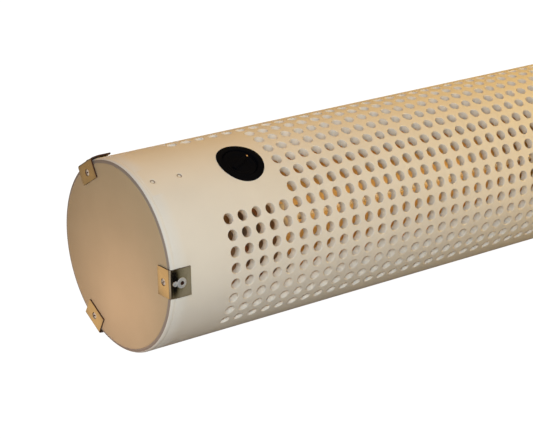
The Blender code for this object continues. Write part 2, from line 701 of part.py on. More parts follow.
def make_inlet(cap):
    """Appliance inlet in the rear cap: a flanged housing, three blades and two fixing screws."""
    face = REAR_FACE + GAP
    flange = box_mesh("power_inlet", INLET_FLANGE, (face + INLET_FLANGE[0] / 2, 0.0, 0.0))
    inlet = add_object("power_inlet", flange, "black_plastic")
    body = box_mesh("inlet_body", INLET_BODY, (face + 0.001 - INLET_BODY[0] / 2, 0.0, 0.0))
    cut(inlet, add_object("inlet_body", body), "UNION")
    mouth = face + INLET_FLANGE[0]
    cavity = box_mesh("inlet_cavity", INLET_CAVITY, (mouth + 0.001 - INLET_CAVITY[0] / 2, 0.0, 0.0))
    cut(inlet, add_object("inlet_cavity", cavity))
    margin = 2 * GAP
    size = (INLET_CUTOUT_L, INLET_BODY[1] + margin, INLET_BODY[2] + margin)
    hole = box_mesh("inlet_cutout", size, (TUBE_L, 0.0, 0.0))
    cut(cap, add_object("inlet_cutout", hole))
    for name, (y, z) in BLADE_PLACES.items():
        stop = mouth - BLADE_SUNK
        blade = box_mesh(f"inlet_blade_{name}", BLADE_SIZE, (stop - BLADE_SIZE[0] / 2, y, z))
        slot = [side + margin for side in BLADE_SIZE]
        pocket = box_mesh(f"{name}_slot_cutter", slot, (stop - BLADE_SIZE[0] / 2, y, z))
        cut(inlet, add_object(f"{name}_slot_cutter", pocket))
        add_object(f"inlet_blade_{name}", blade, "brass")
    for number, side in enumerate((-1.0, 1.0), start=1):
        place = along_frame(0.0, y=side * INLET_SCREW_Y)
        hole_r, seat, foot = INLET_SCREW_R + GAP, mouth + GAP, TUBE_L - 0.001
        low, high = TUBE_L - CUTTER_REACH, mouth + CUTTER_REACH
        drill(inlet, f"inlet_hole_cutter_{number}", hole_r, low, high, place)
        drill(cap, f"inlet_thread_cutter_{number}", hole_r, low, high, place)
        profile = [(0.0, seat + 0.0014), (0.75 * INLET_SCREW_HEAD_R, seat + 0.0012),
                   (INLET_SCREW_HEAD_R, seat), (INLET_SCREW_R, seat), (INLET_SCREW_R, foot), (0.0, foot)]
        turned(f"inlet_screw_{number}", profile, "zinc_steel", place, 12)


def make_terminal_block():
    """Ceramic terminal block on the back of the rear lamp bracket."""
    start = REAR_PLATE_X + PLATE_THICK + GAP
    block = box_mesh("terminal_block", TERMINAL_SIZE, (start + TERMINAL_SIZE[0] / 2, 0.0, 0.0))
    add_object("terminal_block", block, "ceramic", out_frame(0.0, BACK_ANGLE, TERMINAL_OUT_R))


def make_leads():
    """Supply lead along the bottom of the tube, and the two leads of the lamp, clear of the brackets."""
    def at(x, across=Vector()):
        return Vector((x, 0.0, 0.0)) + across

    run = radial(LEAD_RUN_ANGLE) * LEAD_RUN_R
    under = radial(CONTROL_ANGLE) * (BRACKET_TOP_R - BRACKET_THICK - REGULATOR_DEPTH - 0.0022)
    lamp = radial(BACK_ANGLE) * LAMP_OFFSET
    inlet_back = REAR_FACE + GAP + 0.001 - INLET_BODY[0]
    supply = [
        at(inlet_back - LEAD_END, Vector((0.0, -LEAD_BESIDE, 0.0))),
        at(inlet_back - 0.012, Vector((0.0, -LEAD_BESIDE - 0.004, -0.010))),
        at(REAR_PLATE_X + 0.021, run * 0.85), at(REAR_PLATE_X + 0.010, run),
        at(FRONT_PLATE_X - 0.015, run), at(FRONT_PLATE_X - 0.040, run * 0.6),
        at(CONTROL_X - LEAD_BESIDE, under),
    ]
    lead("lead_supply", supply, LEAD_R, "silicone_lead")
    front = [
        at(CONTROL_X + LEAD_BESIDE, under), at(FRONT_PLATE_X - 0.035, under * 0.4),
        at(FRONT_PLATE_X - 0.015, lamp * 0.2), at(FRONT_PLATE_X - LEAD_END, lamp),
    ]
    lead("lead_lamp_front", front, LEAD_R, "silicone_lead")
    rear = [
        at(REAR_PLATE_X + PLATE_THICK + LEAD_END, lamp), at(REAR_PLATE_X + 0.015, lamp * 0.6),
        at(inlet_back - 0.008, Vector((0.0, LEAD_BESIDE, 0.004))),
        at(inlet_back - LEAD_END, Vector((0.0, LEAD_BESIDE, 0.0))),
    ]
    lead("lead_lamp_rear", rear, LEAD_R, "silicone_lead")


def center_on_tube():
    """Moves everything back from the front end's layout, so that the origin is the middle of the tube."""
    shift = Matrix.Translation((-TUBE_L / 2, 0.0, 0.0))
    for obj in [*PARTS.objects, *CUTTERS.objects]:
        if obj.parent is None:
            obj.matrix_world = shift @ obj.matrix_world


def main():
    make_tube_shell()
    make_ends()
    make_bezel()
    make_knob(control_axis())
    make_regulator()
    make_control_bracket()
    for end in ("front", "rear"):
        make_lamp_bracket(end)
        make_holder(end)
    make_reflector()
    make_contacts()
    make_lamp()
    make_inlet(PARTS.objects["rear_end_cap"])
    make_terminal_block()
    make_leads()
    center_on_tube()


clear_scene()
PARTS = new_collection(PART_NAME)
CUTTERS = new_collection("cutters")
main()
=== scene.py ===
"""Looks of the tubular heat lamp warmer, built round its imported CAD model.

Frame: X runs along the tube from its front end to its rear end, Z is up, and the origin is the middle of the
tube. An angle on the tube is measured from +Z towards -Y. All sizes are in metres.
"""

import json
from math import acos, asin, atan2, cos, degrees, pi, radians, sin, sqrt, tan

import bmesh
import bpy
from mathutils import Matrix, Vector

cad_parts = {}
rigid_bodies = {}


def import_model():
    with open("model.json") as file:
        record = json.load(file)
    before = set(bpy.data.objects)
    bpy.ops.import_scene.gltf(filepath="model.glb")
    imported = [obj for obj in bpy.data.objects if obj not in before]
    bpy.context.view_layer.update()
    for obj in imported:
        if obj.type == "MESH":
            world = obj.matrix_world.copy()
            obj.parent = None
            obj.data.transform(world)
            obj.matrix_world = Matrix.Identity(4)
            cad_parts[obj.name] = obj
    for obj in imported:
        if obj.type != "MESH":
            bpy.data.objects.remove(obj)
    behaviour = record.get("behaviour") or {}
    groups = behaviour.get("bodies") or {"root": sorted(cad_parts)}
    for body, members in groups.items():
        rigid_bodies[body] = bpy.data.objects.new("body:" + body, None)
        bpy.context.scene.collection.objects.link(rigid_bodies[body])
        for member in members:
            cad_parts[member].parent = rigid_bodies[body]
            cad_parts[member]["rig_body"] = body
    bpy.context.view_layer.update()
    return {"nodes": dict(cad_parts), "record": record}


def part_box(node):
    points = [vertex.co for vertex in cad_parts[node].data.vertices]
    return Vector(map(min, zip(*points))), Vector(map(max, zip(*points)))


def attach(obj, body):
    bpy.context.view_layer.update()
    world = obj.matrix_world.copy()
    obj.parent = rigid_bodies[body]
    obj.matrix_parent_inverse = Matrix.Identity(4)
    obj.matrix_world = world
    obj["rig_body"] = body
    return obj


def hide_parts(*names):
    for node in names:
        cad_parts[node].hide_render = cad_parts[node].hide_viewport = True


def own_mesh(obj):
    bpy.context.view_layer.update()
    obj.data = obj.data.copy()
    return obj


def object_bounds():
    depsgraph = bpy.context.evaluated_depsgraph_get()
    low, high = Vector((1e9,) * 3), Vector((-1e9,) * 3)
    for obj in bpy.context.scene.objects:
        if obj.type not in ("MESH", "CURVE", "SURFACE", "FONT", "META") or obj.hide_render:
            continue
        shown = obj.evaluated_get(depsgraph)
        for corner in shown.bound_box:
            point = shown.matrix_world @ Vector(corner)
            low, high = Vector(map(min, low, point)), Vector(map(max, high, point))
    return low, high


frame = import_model()

NODES = frame["nodes"]
SLOT_OF = {part["node"]: part["material_slot"] for part in frame["record"]["subparts"]}
MOUNT_PLACE = {mount["name"]: Vector(mount["pos_m"]) for mount in frame["record"]["mounts"]}

# Tube, from the CAD boxes
FRONT_X, REAR_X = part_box("tube_shell")[0].x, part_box("tube_shell")[1].x
END_X = {"front": FRONT_X, "rear": REAR_X}
OUTWARD = {"front": -1.0, "rear": 1.0}
TUBE_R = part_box("front_end_cap")[1].z
WALL = 0.0071
INNER_R = TUBE_R - WALL
TUBE_EDGE = 0.00015

# Perforated window
HOLE_R = 0.00465
HOLE_EDGE = 0.00045
INNER_EDGE = 0.00020
EDGE_SUPPORT = 0.0004
EDGE_STEPS = 3
PITCH = 0.0142875
COLUMNS = 35
ROWS = 15
ROW_STEP = 9.64
WINDOW_ANGLE = 61.9
BLANK_COLUMNS = 5
BLANK_ROWS = (1, 6)
END_CELLS = 4
BACK_CELLS = 19
CELL_SIDE = 8

# Ends; an arc is from and to an angle, in a number of steps
CAP_EDGE_R = 0.0042
CAP_EDGE_ARC = (14.0, 90.0, 14)
CAP_FACE_R = 0.0799
CAP_GROOVE = 0.0003
# How far round the rim's turn the dark finish of painted shade reaches, in degrees
CAP_RIM_TURN = 42.0
CAP_SPIGOT = 0.0015
CAP_SEAM = 0.00005
CLIP_NUMBERS = (1, 2, 3)
CLIP_THICK = 0.0014
CLIP_WIDTH = 0.025
CLIP_BEND_R = 0.0016
CLIP_BOW = 0.0007
CLIP_BOW_L = 0.0065
CLIP_STEPS = 8
CLIP_FLANGE_R = 0.0672
CLIP_EDGE = 0.00015
RIVET_HEAD_R = 0.0046
RIVET_SHANK_R = 0.0024
RIVET_BORE_R = 0.0017
RIVET_DOME = 0.001
PIP_R = 0.0028
PIP_PROFILE = ((0.0, 0.0007), (0.0009, 0.00055), (0.0022, 0.0002), (PIP_R, -0.0005), (0.0, -0.0005))
PIP_BESIDE = RIVET_HEAD_R + 0.0012
# Largest face on the pip's crown that gets the painted highlight
PIP_FACE_AREA = 2e-6
SCREW_HEAD_R = 0.0028
SCREW_SHANK_R = 0.0015
SCREW_FOOT = -0.001
SCREW_RECESS = (0.0034, 0.0007)
RECESS_TURN = 0.5

# Space between pieces, how far a cutter reaches past what it cuts, and lengths that count as none
GAP = 0.0003
PAST = 0.001
WELD = 1e-6
TINY = 1e-7

# Heat control
CONTROL_ANGLE = 29.0
INDEX_TURN = 28.0
BEZEL_R = 0.0213
BEZEL_PROUD = 0.0006
CUP_R = 0.0186
CUP_DEPTH = 0.0084
CUP_FLOOR = 0.0014
CUP_HOLE_R = 0.0055
KNOB_R = 0.0152
KNOB_SUNK = 0.0016
KNOB_THICK = 0.003
KNOB_BORE = 0.0014
GRIP_SIZE = (0.019, 0.0042, 0.0026)
SHAFT_R = 0.003
SHAFT_BELOW = 0.0177
BUSH_R = 0.0050
BUSH_THREADS = 9
NUT_BORE_R = 0.0061
NUT_R = 0.0085
NUT_THICK = 0.0018
BRACKET_TOP_R = 0.0752
BRACKET_THICK = 0.0016
BRACKET_WIDTH = 0.026
REGULATOR_SIZE = (0.032, 0.032, 0.022)
REGULATOR_BORE = 0.0133
INDEX_PLACE_R = 0.0131
INDEX_R = 0.0009
BACK_ANGLE = WINDOW_ANGLE + 180.0

# Lamp and its holders. A bore is a radius with its two depths, and the plunger is the radii of its stem,
# collar and nose with the depths of its collar and its end
QUARTZ_WALL = 0.001
FILAMENT_R = 0.0010
FILAMENT_WIRE_R = 0.00035
FILAMENT_TURNS = 110
LAMP_OFFSET = 0.018
HOLDER_SIZE = (0.0227, 0.020, 0.026)
FRONT_BORE = (0.0032, 0.0135, 0.024)
REAR_BORE = (0.0047, -0.001, 0.0175)
CONTACT_R = 0.0028
CONTACT_TIP = 0.0030
CONTACT_TAIL = 0.0085
PLUNGER = (0.0020, 0.0043, 0.0016, 0.0030, 0.0075)
SPRING_R = 0.0034
SPRING_WIRE_R = 0.0004
SPRING_TURNS = 5
PLATE_R = 0.0763
PLATE_CHORD = 0.004
PLATE_THICK = 0.002
PLATE_BLOCK = (0.012, 0.014, 0.012)
REFLECTOR_R = 0.060
REFLECTOR_THICK = 0.001
REFLECTOR_HALF = 75.0

# Inlet and wiring
INLET_FLANGE = 0.0026
INLET_BODY = (0.024, 0.0272, 0.0195)
INLET_CAVITY = (0.018, 0.0235, 0.0160)
TERMINAL_SIZE = (0.014, 0.030, 0.012)
TERMINAL_PLACE_R = 0.042

# Pan-head screws: radii of head and shank, heights of crown, shoulder and rim, the shoulder's share of the
# head, the corners' radius, and the recess
BRACKET_SCREW = {"head": 0.0038, "shank": 0.0020, "crown": 0.0018, "shoulder": 0.0014, "rim": 0.0003,
                 "waist": 0.75, "soft": 0.0005, "slot": 0.0042, "slot_depth": 0.0011}
INLET_SCREW = {"head": 0.0029, "shank": 0.0015, "crown": 0.0014, "shoulder": 0.0011, "rim": 0.0002,
               "waist": 0.72, "soft": 0.0004, "slot": 0.0034, "slot_depth": 0.0009}
BRACKET_SCREW_FOOT_R = 0.0665
BRACKET_SCREW_SPACE = 0.004

# Lamp's looks
LAMP_GLOW = 0.7
LAMP_COLOR = (1.0, 0.42, 0.12, 1.0)
QUARTZ_ALPHA = 0.16


# Placement

def radial(angle):
    """Unit vector across the tube at an angle from +Z towards -Y."""
    turn = radians(angle)
    return Vector((0.0, -sin(turn), cos(turn)))


def angle_of(point):
    return degrees(atan2(-point.y, point.z))


def out_frame(x, angle, radius=0.0):
    """Frame on the tube: local X along the tube, local Z straight out."""
    out = radial(angle)
    side = out.cross(Vector((1.0, 0.0, 0.0)))
    axes = Matrix((Vector((1.0, 0.0, 0.0)), side, out)).transposed()
    return Matrix.Translation(Vector((x, 0.0, 0.0)) + out * radius) @ axes.to_4x4()


def along_frame(x, y=0.0, z=0.0, facing=1.0):
    """Frame whose local Z points along +X (facing 1) or -X (facing -1)."""
    return Matrix.Translation((x, y, z)) @ Matrix.Rotation(facing * pi / 2, 4, "Y")


def middle_of(node):
    low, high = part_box(node)
    return (low + high) / 2


def frame_at(node, angle, radius=0.0):
    """Frame on the tube at the middle of a CAD node's length."""
    return out_frame(middle_of(node).x, angle, radius)


def spread(start, stop, count):
    return [start + (stop - start) * i / count for i in range(count + 1)]


# Meshes

def add_object(name, data):
    made = bpy.data.objects.new(name, data)
    bpy.context.scene.collection.objects.link(made)
    return made


def bmesh_to_mesh(bm):
    bmesh.ops.recalc_face_normals(bm, faces=bm.faces)
    mesh = bpy.data.meshes.new("mesh")
    bm.to_mesh(mesh)
    bm.free()
    return mesh


def smooth(mesh, sharp_angle=35.0):
    mesh.shade_smooth()
    mesh.set_sharp_from_angle(angle=radians(sharp_angle))
    return mesh


def bevel_sharp(bm, offset, angle):
    """Rounds the edges whose two faces turn by more than an angle."""
    bmesh.ops.recalc_face_normals(bm, faces=bm.faces)
    sharp = [edge for edge in bm.edges if edge.calc_face_angle(0.0) > radians(angle)]
    bmesh.ops.bevel(bm, geom=sharp, offset=offset, segments=2, profile=0.5, affect="EDGES")


def rounded(profile, radius, steps=3, closed=False):
    """Rounds the inner corners of a (radius, height) profile with arcs no wider than the sides allow."""
    count = len(profile)
    points = []
    for i, corner in enumerate(profile):
        if not closed and i in (0, count - 1):
            points.append(corner)
            continue
        here = Vector(corner)
        before, after = Vector(profile[i - 1]) - here, Vector(profile[(i + 1) % count]) - here
        angle = before.angle(after)
        reach = min(radius / tan(angle / 2), before.length * 0.45, after.length * 0.45)
        if angle > radians(170.0) or reach < TINY:
            points.append(corner)
            continue
        start, stop = here + before.normalized() * reach, here + after.normalized() * reach
        for k in range(steps + 1):
            share = k / steps
            bend = start.lerp(here, share).lerp(here.lerp(stop, share), share)
            points.append((bend.x, bend.y))
    return points


def skin(bm, rings, closed=False):
    """Faces from each ring of vertices to the next. A ring of one vertex is a pole."""
    count = max(len(ring) for ring in rings)
    for upper, lower in zip(rings, rings[1:] + (rings[:1] if closed else [])):
        for k in range(count):
            after = (k + 1) % count
            loop = [upper[k % len(upper)], lower[k % len(lower)], lower[after % len(lower)],
                    upper[after % len(upper)]]
            unique = list(dict.fromkeys(loop))
            if len(unique) > 2:
                bm.faces.new(unique)


def lathe(profile, place, segments=48, closed=False):
    """Turns a (radius, height) profile about the local Z of a place. An open profile starts and ends on the
    axis, and a closed one is a ring that stays off it."""
    bm = bmesh.new()
    turns = spread(0.0, 2 * pi, segments)[:-1]
    rings = []
    for radius, height in profile:
        around = turns if radius > TINY else turns[:1]
        rings.append([bm.verts.new((radius * cos(turn), radius * sin(turn), height)) for turn in around])
    skin(bm, rings, closed)
    mesh = bmesh_to_mesh(bm)
    mesh.transform(place)
    return smooth(mesh)


def rounded_box(size, center=(0.0, 0.0, 0.0), edge=0.0004, place=None):
    bm = bmesh.new()
    bmesh.ops.create_cube(bm, size=1.0)
    bmesh.ops.scale(bm, vec=size, verts=bm.verts)
    bmesh.ops.translate(bm, vec=center, verts=bm.verts)
    bmesh.ops.bevel(bm, geom=bm.edges, offset=edge, segments=3, profile=0.5, affect="EDGES")
    mesh = bmesh_to_mesh(bm)
    if place is not None:
        mesh.transform(place)
    return smooth(mesh)


def combine(mesh, other, operation="DIFFERENCE"):
    """Cuts or joins two closed meshes and gives back the result; both are used up."""
    target, tool = add_object("target", mesh), add_object("tool", other)
    boolean = target.modifiers.new("boolean", "BOOLEAN")
    boolean.operation = operation
    boolean.solver = "EXACT"
    boolean.object = tool
    made = bpy.data.meshes.new_from_object(target.evaluated_get(bpy.context.evaluated_depsgraph_get()))
    bpy.data.objects.remove(target)
    bpy.data.objects.remove(tool)
    return smooth(made)


def drill(mesh, radius, low, high, place, segments=32):
    """Cuts a plain cylinder out of a mesh, between two heights on the local Z of a place."""
    outline = [(0.0, high), (radius, high), (radius, low), (0.0, low)]
    return combine(mesh, lathe(outline, place, segments))


def pocket(mesh, size, center, edge, place=None):
    """Cuts a rounded box out of a mesh."""
    return combine(mesh, rounded_box(size, center, edge, place))


def wire(points, radius):
    """Round wire through points, closed at its ends."""
    curve = bpy.data.curves.new("wire", "CURVE")
    curve.dimensions = "3D"
    curve.bevel_depth = radius
    curve.bevel_resolution = 3
    curve.use_fill_caps = True
    spline = curve.splines.new("POLY")
    spline.points.add(len(points) - 1)
    for point, place in zip(spline.points, points):
        point.co = (*place, 1.0)
    holder = add_object("wire", curve)
    mesh = bpy.data.meshes.new_from_object(holder.evaluated_get(bpy.context.evaluated_depsgraph_get()))
    bpy.data.objects.remove(holder)
    bm = bmesh.new()
    bm.from_mesh(mesh)
    bmesh.ops.remove_doubles(bm, verts=bm.verts, dist=WELD)
    return smooth(bmesh_to_mesh(bm), 50.0)


def mark(mesh, place, chosen, index=1):
    """Gives a material index to the faces whose centre, seen from a place, is chosen."""
    local = place.inverted()
    for face in mesh.polygons:
        if chosen(local @ face.center):
            face.material_index = index


# Finishes

def add_node(tree, kind, inputs=None, **settings):
    """Adds a shader node; an input is a value or another node's socket."""
    made = tree.nodes.new(f"ShaderNode{kind}")
    for key, value in settings.items():
        setattr(made, key, value)
    for key, value in (inputs or {}).items():
        if isinstance(value, bpy.types.NodeSocket):
            tree.links.new(value, made.inputs[key])
        else:
            made.inputs[key].default_value = value
    return made


def noise(tree, scale, detail=3.0, stretch=(1.0, 1.0, 1.0)):
    """Noise in object space, between 0 and 1; stretch draws it out into streaks."""
    coords = add_node(tree, "TexCoord")
    mapping = add_node(tree, "Mapping", {"Vector": coords.outputs["Object"], "Scale": stretch})
    texture = add_node(tree, "TexNoise", {
        "Vector": mapping.outputs["Vector"], "Scale": scale, "Detail": detail, "Roughness": 0.5})
    return texture.outputs["Fac"]


def remap(tree, value, low, high):
    """Spreads the middle of a noise, 0.3 to 0.7, between two values."""
    made = add_node(tree, "MapRange", {
        "Value": value, "From Min": 0.3, "From Max": 0.7, "To Min": low, "To Max": high})
    return made.outputs["Result"]


def mix_color(tree, factor, first, second):
    made = add_node(tree, "Mix", {0: factor, 6: first, 7: second}, data_type="RGBA")
    return made.outputs[2]


def shade(color, factor):
    return (*[channel * factor for channel in color[:3]], 1.0)


def finish(name, color, roughness, metallic=0.0, drift=0.05, drift_scale=18.0, uneven=0.06,
           grain=900.0, stretch=(1.0, 1.0, 1.0), bump=2e-5):
    """Finish with soft colour drift, uneven gloss and a fine bump."""
    material = bpy.data.materials.new(name)
    material.use_nodes = True
    tree = material.node_tree
    shader = tree.nodes["Principled BSDF"]
    patches = noise(tree, drift_scale, 4.0)
    tint = mix_color(tree, remap(tree, patches, 0.0, 1.0), shade(color, 1 - drift), shade(color, 1 + drift))
    tree.links.new(tint, shader.inputs["Base Color"])
    fine = noise(tree, grain, stretch=stretch)
    gloss = remap(tree, fine, roughness - uneven, roughness + uneven)
    tree.links.new(gloss, shader.inputs["Roughness"])
    shader.inputs["Metallic"].default_value = metallic
    height = add_node(tree, "Bump", {"Height": fine, "Distance": bump, "Strength": 1.0})
    tree.links.new(height.outputs["Normal"], shader.inputs["Normal"])
    return material


def shader_of(material):
    return material.node_tree.nodes["Principled BSDF"]


def make_finishes():
    """One finish for each of the record's material slots, and a few for details of a slot."""
    brushed, rolled = (1.0, 0.08, 1.0), (0.05, 1.0, 1.0)
    finishes = {
        "shell_paint": finish(
            "cream_powder_coat", (0.78, 0.72, 0.62), 0.50, drift=0.02, drift_scale=30.0, grain=750.0,
            bump=4e-5),
        # Dark finish for the cap's groove and the start of its rounded rim, and for a ring in the control
        # rivets' dish: painted shade.
        "cap_rim": finish("painted_shade_rim", (0.29, 0.235, 0.19), 0.50, drift=0.04, drift_scale=22.0),
        # Near-black finish for the clips' sheet edges, the rivets' bores and the screws' recesses: painted
        # shade and painted dark reflection.
        "edge_and_hollow_shade": finish(
            "painted_shade_near_black", (0.055, 0.018, 0.012), 0.45, drift=0.15, drift_scale=300.0, bump=1e-5),
        "screw_plate": finish(
            "bright_screw_plate", (0.80, 0.81, 0.82), 0.34, 0.65, drift_scale=400.0, grain=2500.0, bump=3e-6),
        "cap_face": finish("tan_satin_face", (0.51, 0.390, 0.235), 0.50, drift=0.04, drift_scale=22.0),
        "bright_steel": finish(
            "bright_plated_steel", (0.72, 0.68, 0.60), 0.16, 1.0, drift=0.06, drift_scale=120.0,
            grain=700.0, stretch=brushed, bump=4e-6),
        # Darker copy of the bright steel for front_clip_1: painted shade.
        "painted_shade_steel": finish(
            "painted_shade_steel", (0.37, 0.35, 0.30), 0.22, 1.0, drift=0.10, drift_scale=90.0, grain=700.0,
            stretch=brushed, bump=4e-6),
        "zinc_steel": finish(
            "zinc_plated_steel", (0.55, 0.55, 0.53), 0.34, 1.0, drift=0.10, drift_scale=160.0, grain=500.0,
            bump=6e-6),
        "black_plastic": finish(
            "black_moulded_plastic", (0.004, 0.004, 0.005), 0.30, drift=0.10, grain=1500.0, bump=6e-6),
        "amber_plastic": finish("amber_moulded_plastic", (0.80, 0.42, 0.13), 0.25, grain=2000.0, bump=2e-6),
        "gold_reflector": finish(
            "gold_anodised_sheet", (0.90, 0.62, 0.28), 0.42, 1.0, drift=0.06, grain=300.0, stretch=rolled,
            bump=6e-6),
        "quartz": finish("clear_quartz", (0.97, 0.96, 0.94), 0.03, uneven=0.01, grain=60.0, bump=2e-6),
        "tungsten": finish("hot_tungsten_wire", (0.50, 0.42, 0.34), 0.40, 1.0, grain=4000.0, bump=2e-6),
        "ceramic": finish(
            "steatite_ceramic", (0.55, 0.44, 0.31), 0.60, drift=0.04, drift_scale=200.0, grain=2200.0),
        "brass": finish(
            "turned_brass", (0.80, 0.58, 0.25), 0.24, 1.0, drift=0.10, drift_scale=250.0, grain=1800.0,
            bump=4e-6),
        "lead_sleeve": finish(
            "silicone_sleeve", (0.34, 0.17, 0.10), 0.50, drift=0.08, drift_scale=90.0, grain=2500.0,
            bump=1.5e-5),
        # Inner surface of the tube, browner and darker than the outer paint.
        "inside": finish(
            "darker_inner_surface", (0.50, 0.36, 0.24), 0.55, drift=0.20, drift_scale=25.0, grain=600.0,
            bump=3e-5),
    }
    shader_of(finishes["quartz"]).inputs["Alpha"].default_value = QUARTZ_ALPHA
    wire_shader = shader_of(finishes["tungsten"])
    wire_shader.inputs["Emission Color"].default_value = LAMP_COLOR
    wire_shader.inputs["Emission Strength"].default_value = LAMP_GLOW
    for name, level in (("shell_paint", 0.3), ("cap_face", 0.2), ("black_plastic", 0.01)):
        shader_of(finishes[name]).inputs["Specular IOR Level"].default_value = level
    return finishes


FINISHES = make_finishes()


def show(node, mesh, details=(), look=None):
    """Puts a fine mesh in place of a CAD node, on the node's own body and material slot. The first finish is
    the slot's own or the look given, and faces with a higher material index have the finishes in details."""
    mesh.name = f"{node}_fine"
    piece = add_object(f"{node}_fine", mesh)
    for name in (look or SLOT_OF[node], *details):
        mesh.materials.append(FINISHES[name])
    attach(piece, NODES[node]["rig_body"])
    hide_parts(node)
    return piece


# Tube shell

# Places of the points along a cell's side, as seen at even turns from the cell's middle
SIDE_SHARES = [0.5 + 0.5 * tan(radians(turn)) for turn in spread(-45.0, 45.0, CELL_SIDE)]


def grid_lines():
    """Cell edges along X and round the tube: blank end, window and blank end; window and plain back."""
    first = (FRONT_X + REAR_X - COLUMNS * PITCH) / 2
    last = first + COLUMNS * PITCH
    x_lines = spread(FRONT_X + TUBE_EDGE, first, END_CELLS) + spread(first, last, COLUMNS)[1:]
    x_lines += spread(last, REAR_X - TUBE_EDGE, END_CELLS)[1:]
    low = WINDOW_ANGLE - ROWS / 2 * ROW_STEP
    high = low + ROWS * ROW_STEP
    return x_lines, spread(low, high, ROWS) + spread(high, low + 360.0, BACK_CELLS)[1:]


def fine_line(lines, first, last):
    """All the points along cells first to last of a set of lines."""
    points = [lines[first]]
    for i in range(first, last + 1):
        points += [lines[i] + (lines[i + 1] - lines[i]) * share for share in SIDE_SHARES[1:]]
    return points


def cell_at(lines, value):
    return max(i for i in range(len(lines) - 1) if lines[i] <= value)


class Wall:
    """The tube's wall as one mesh whose vertices are shared by their place on it."""

    def __init__(self):
        self.bm = bmesh.new()
        self.verts = {}

    def vert(self, x, angle, rho):
        key = (round(x * 1e7), round(angle % 360.0 * 1e4), round(rho * 1e7))
        if key not in self.verts:
            self.verts[key] = self.bm.verts.new(Vector((x, 0.0, 0.0)) + radial(angle) * rho)
        return self.verts[key]

    def face(self, points, inside=False):
        made = self.bm.faces.new([self.vert(*point) for point in points])
        made.material_index = 1 if inside else 0

    def skin(self, points):
        """The same face on the outer and on the inner surface."""
        self.face([(x, angle, TUBE_R) for x, angle in points])
        self.face([(x, angle, INNER_R) for x, angle in reversed(points)], inside=True)

    def bridge(self, ring, after, inside=False):
        for k in range(len(ring)):
            follow = (k + 1) % len(ring)
            self.face([ring[k], ring[follow], after[follow], after[k]], inside)

    def hole(self, outline, x, angle, radius, blend_rings):
        """A straight round hole, from the outline of its cells through its rounded edge to the inside."""
        turns = [atan2(TUBE_R * sin(radians(a - angle)), place - x) for place, a in outline]

        def circle(wide, rho):
            return [(x + wide * cos(t), angle + degrees(asin(wide * sin(t) / rho)), rho) for t in turns]

        rings = [[(place, a, TUBE_R) for place, a in outline]]
        support = circle(radius + HOLE_EDGE + EDGE_SUPPORT, TUBE_R)
        for share in spread(0.0, 1.0, blend_rings + 1)[1:]:
            rings.append([(p[0] + (s[0] - p[0]) * share, p[1] + (s[1] - p[1]) * share, TUBE_R)
                          for p, s in zip(rings[0], support)])
        for turn in spread(0.0, pi / 2, EDGE_STEPS):
            rings.append(circle(radius + HOLE_EDGE * (1 - sin(turn)), TUBE_R - HOLE_EDGE * (1 - cos(turn))))
        rings.append(circle(radius, INNER_R + INNER_EDGE))
        for ring, after in zip(rings, rings[1:]):
            self.bridge(ring, after)
        inner_edge = circle(radius + INNER_EDGE, INNER_R)
        self.bridge(rings[-1], inner_edge, inside=True)
        self.bridge(inner_edge, [(place, a, INNER_R) for place, a in outline], inside=True)


def holed_regions(x_lines, angle_lines):
    """Every hole as (columns, rows, x, angle, radius, blend rings), with the first and last of its columns
    and rows."""
    regions = []
    for column in range(END_CELLS, END_CELLS + COLUMNS):
        for row in range(ROWS):
            blank = column < END_CELLS + BLANK_COLUMNS and BLANK_ROWS[0] <= row <= BLANK_ROWS[1]
            if not blank:
                x = (x_lines[column] + x_lines[column + 1]) / 2
                angle = (angle_lines[row] + angle_lines[row + 1]) / 2
                regions.append(((column, column), (row, row), x, angle, HOLE_R, 1))
    patch = (END_CELLS, END_CELLS + BLANK_COLUMNS - 1)
    regions.append((patch, BLANK_ROWS, middle_of("control_bezel").x, CONTROL_ANGLE, CUP_R + 2 * GAP, 5))
    for number in (1, 2):
        x = middle_of(f"bracket_rivet_{number}").x
        column, row = cell_at(x_lines, x), cell_at(angle_lines, CONTROL_ANGLE)
        regions.append(((column, column), (row - 1, row), x, CONTROL_ANGLE, RIVET_SHANK_R + GAP, 2))
    for end in END_X:
        for number in CLIP_NUMBERS:
            place = middle_of(f"{end}_clip_rivet_{number}")
            angle = angle_of(place)
            angle += 0.0 if angle > angle_lines[0] else 360.0
            column, row = cell_at(x_lines, place.x), cell_at(angle_lines, angle)
            regions.append(((column, column), (row, row), place.x, angle, RIVET_SHANK_R + GAP, 1))
        place = middle_of(f"bracket_screw_{end}")
        row = cell_at(angle_lines, BACK_ANGLE)
        columns = [cell_at(x_lines, place.x + side * BRACKET_SCREW_SPACE) for side in (-1.0, 1.0)]
        regions.append((columns, (row, row), place.x, BACK_ANGLE, SCREW_HEAD_R - 2 * GAP, 2))
    return regions


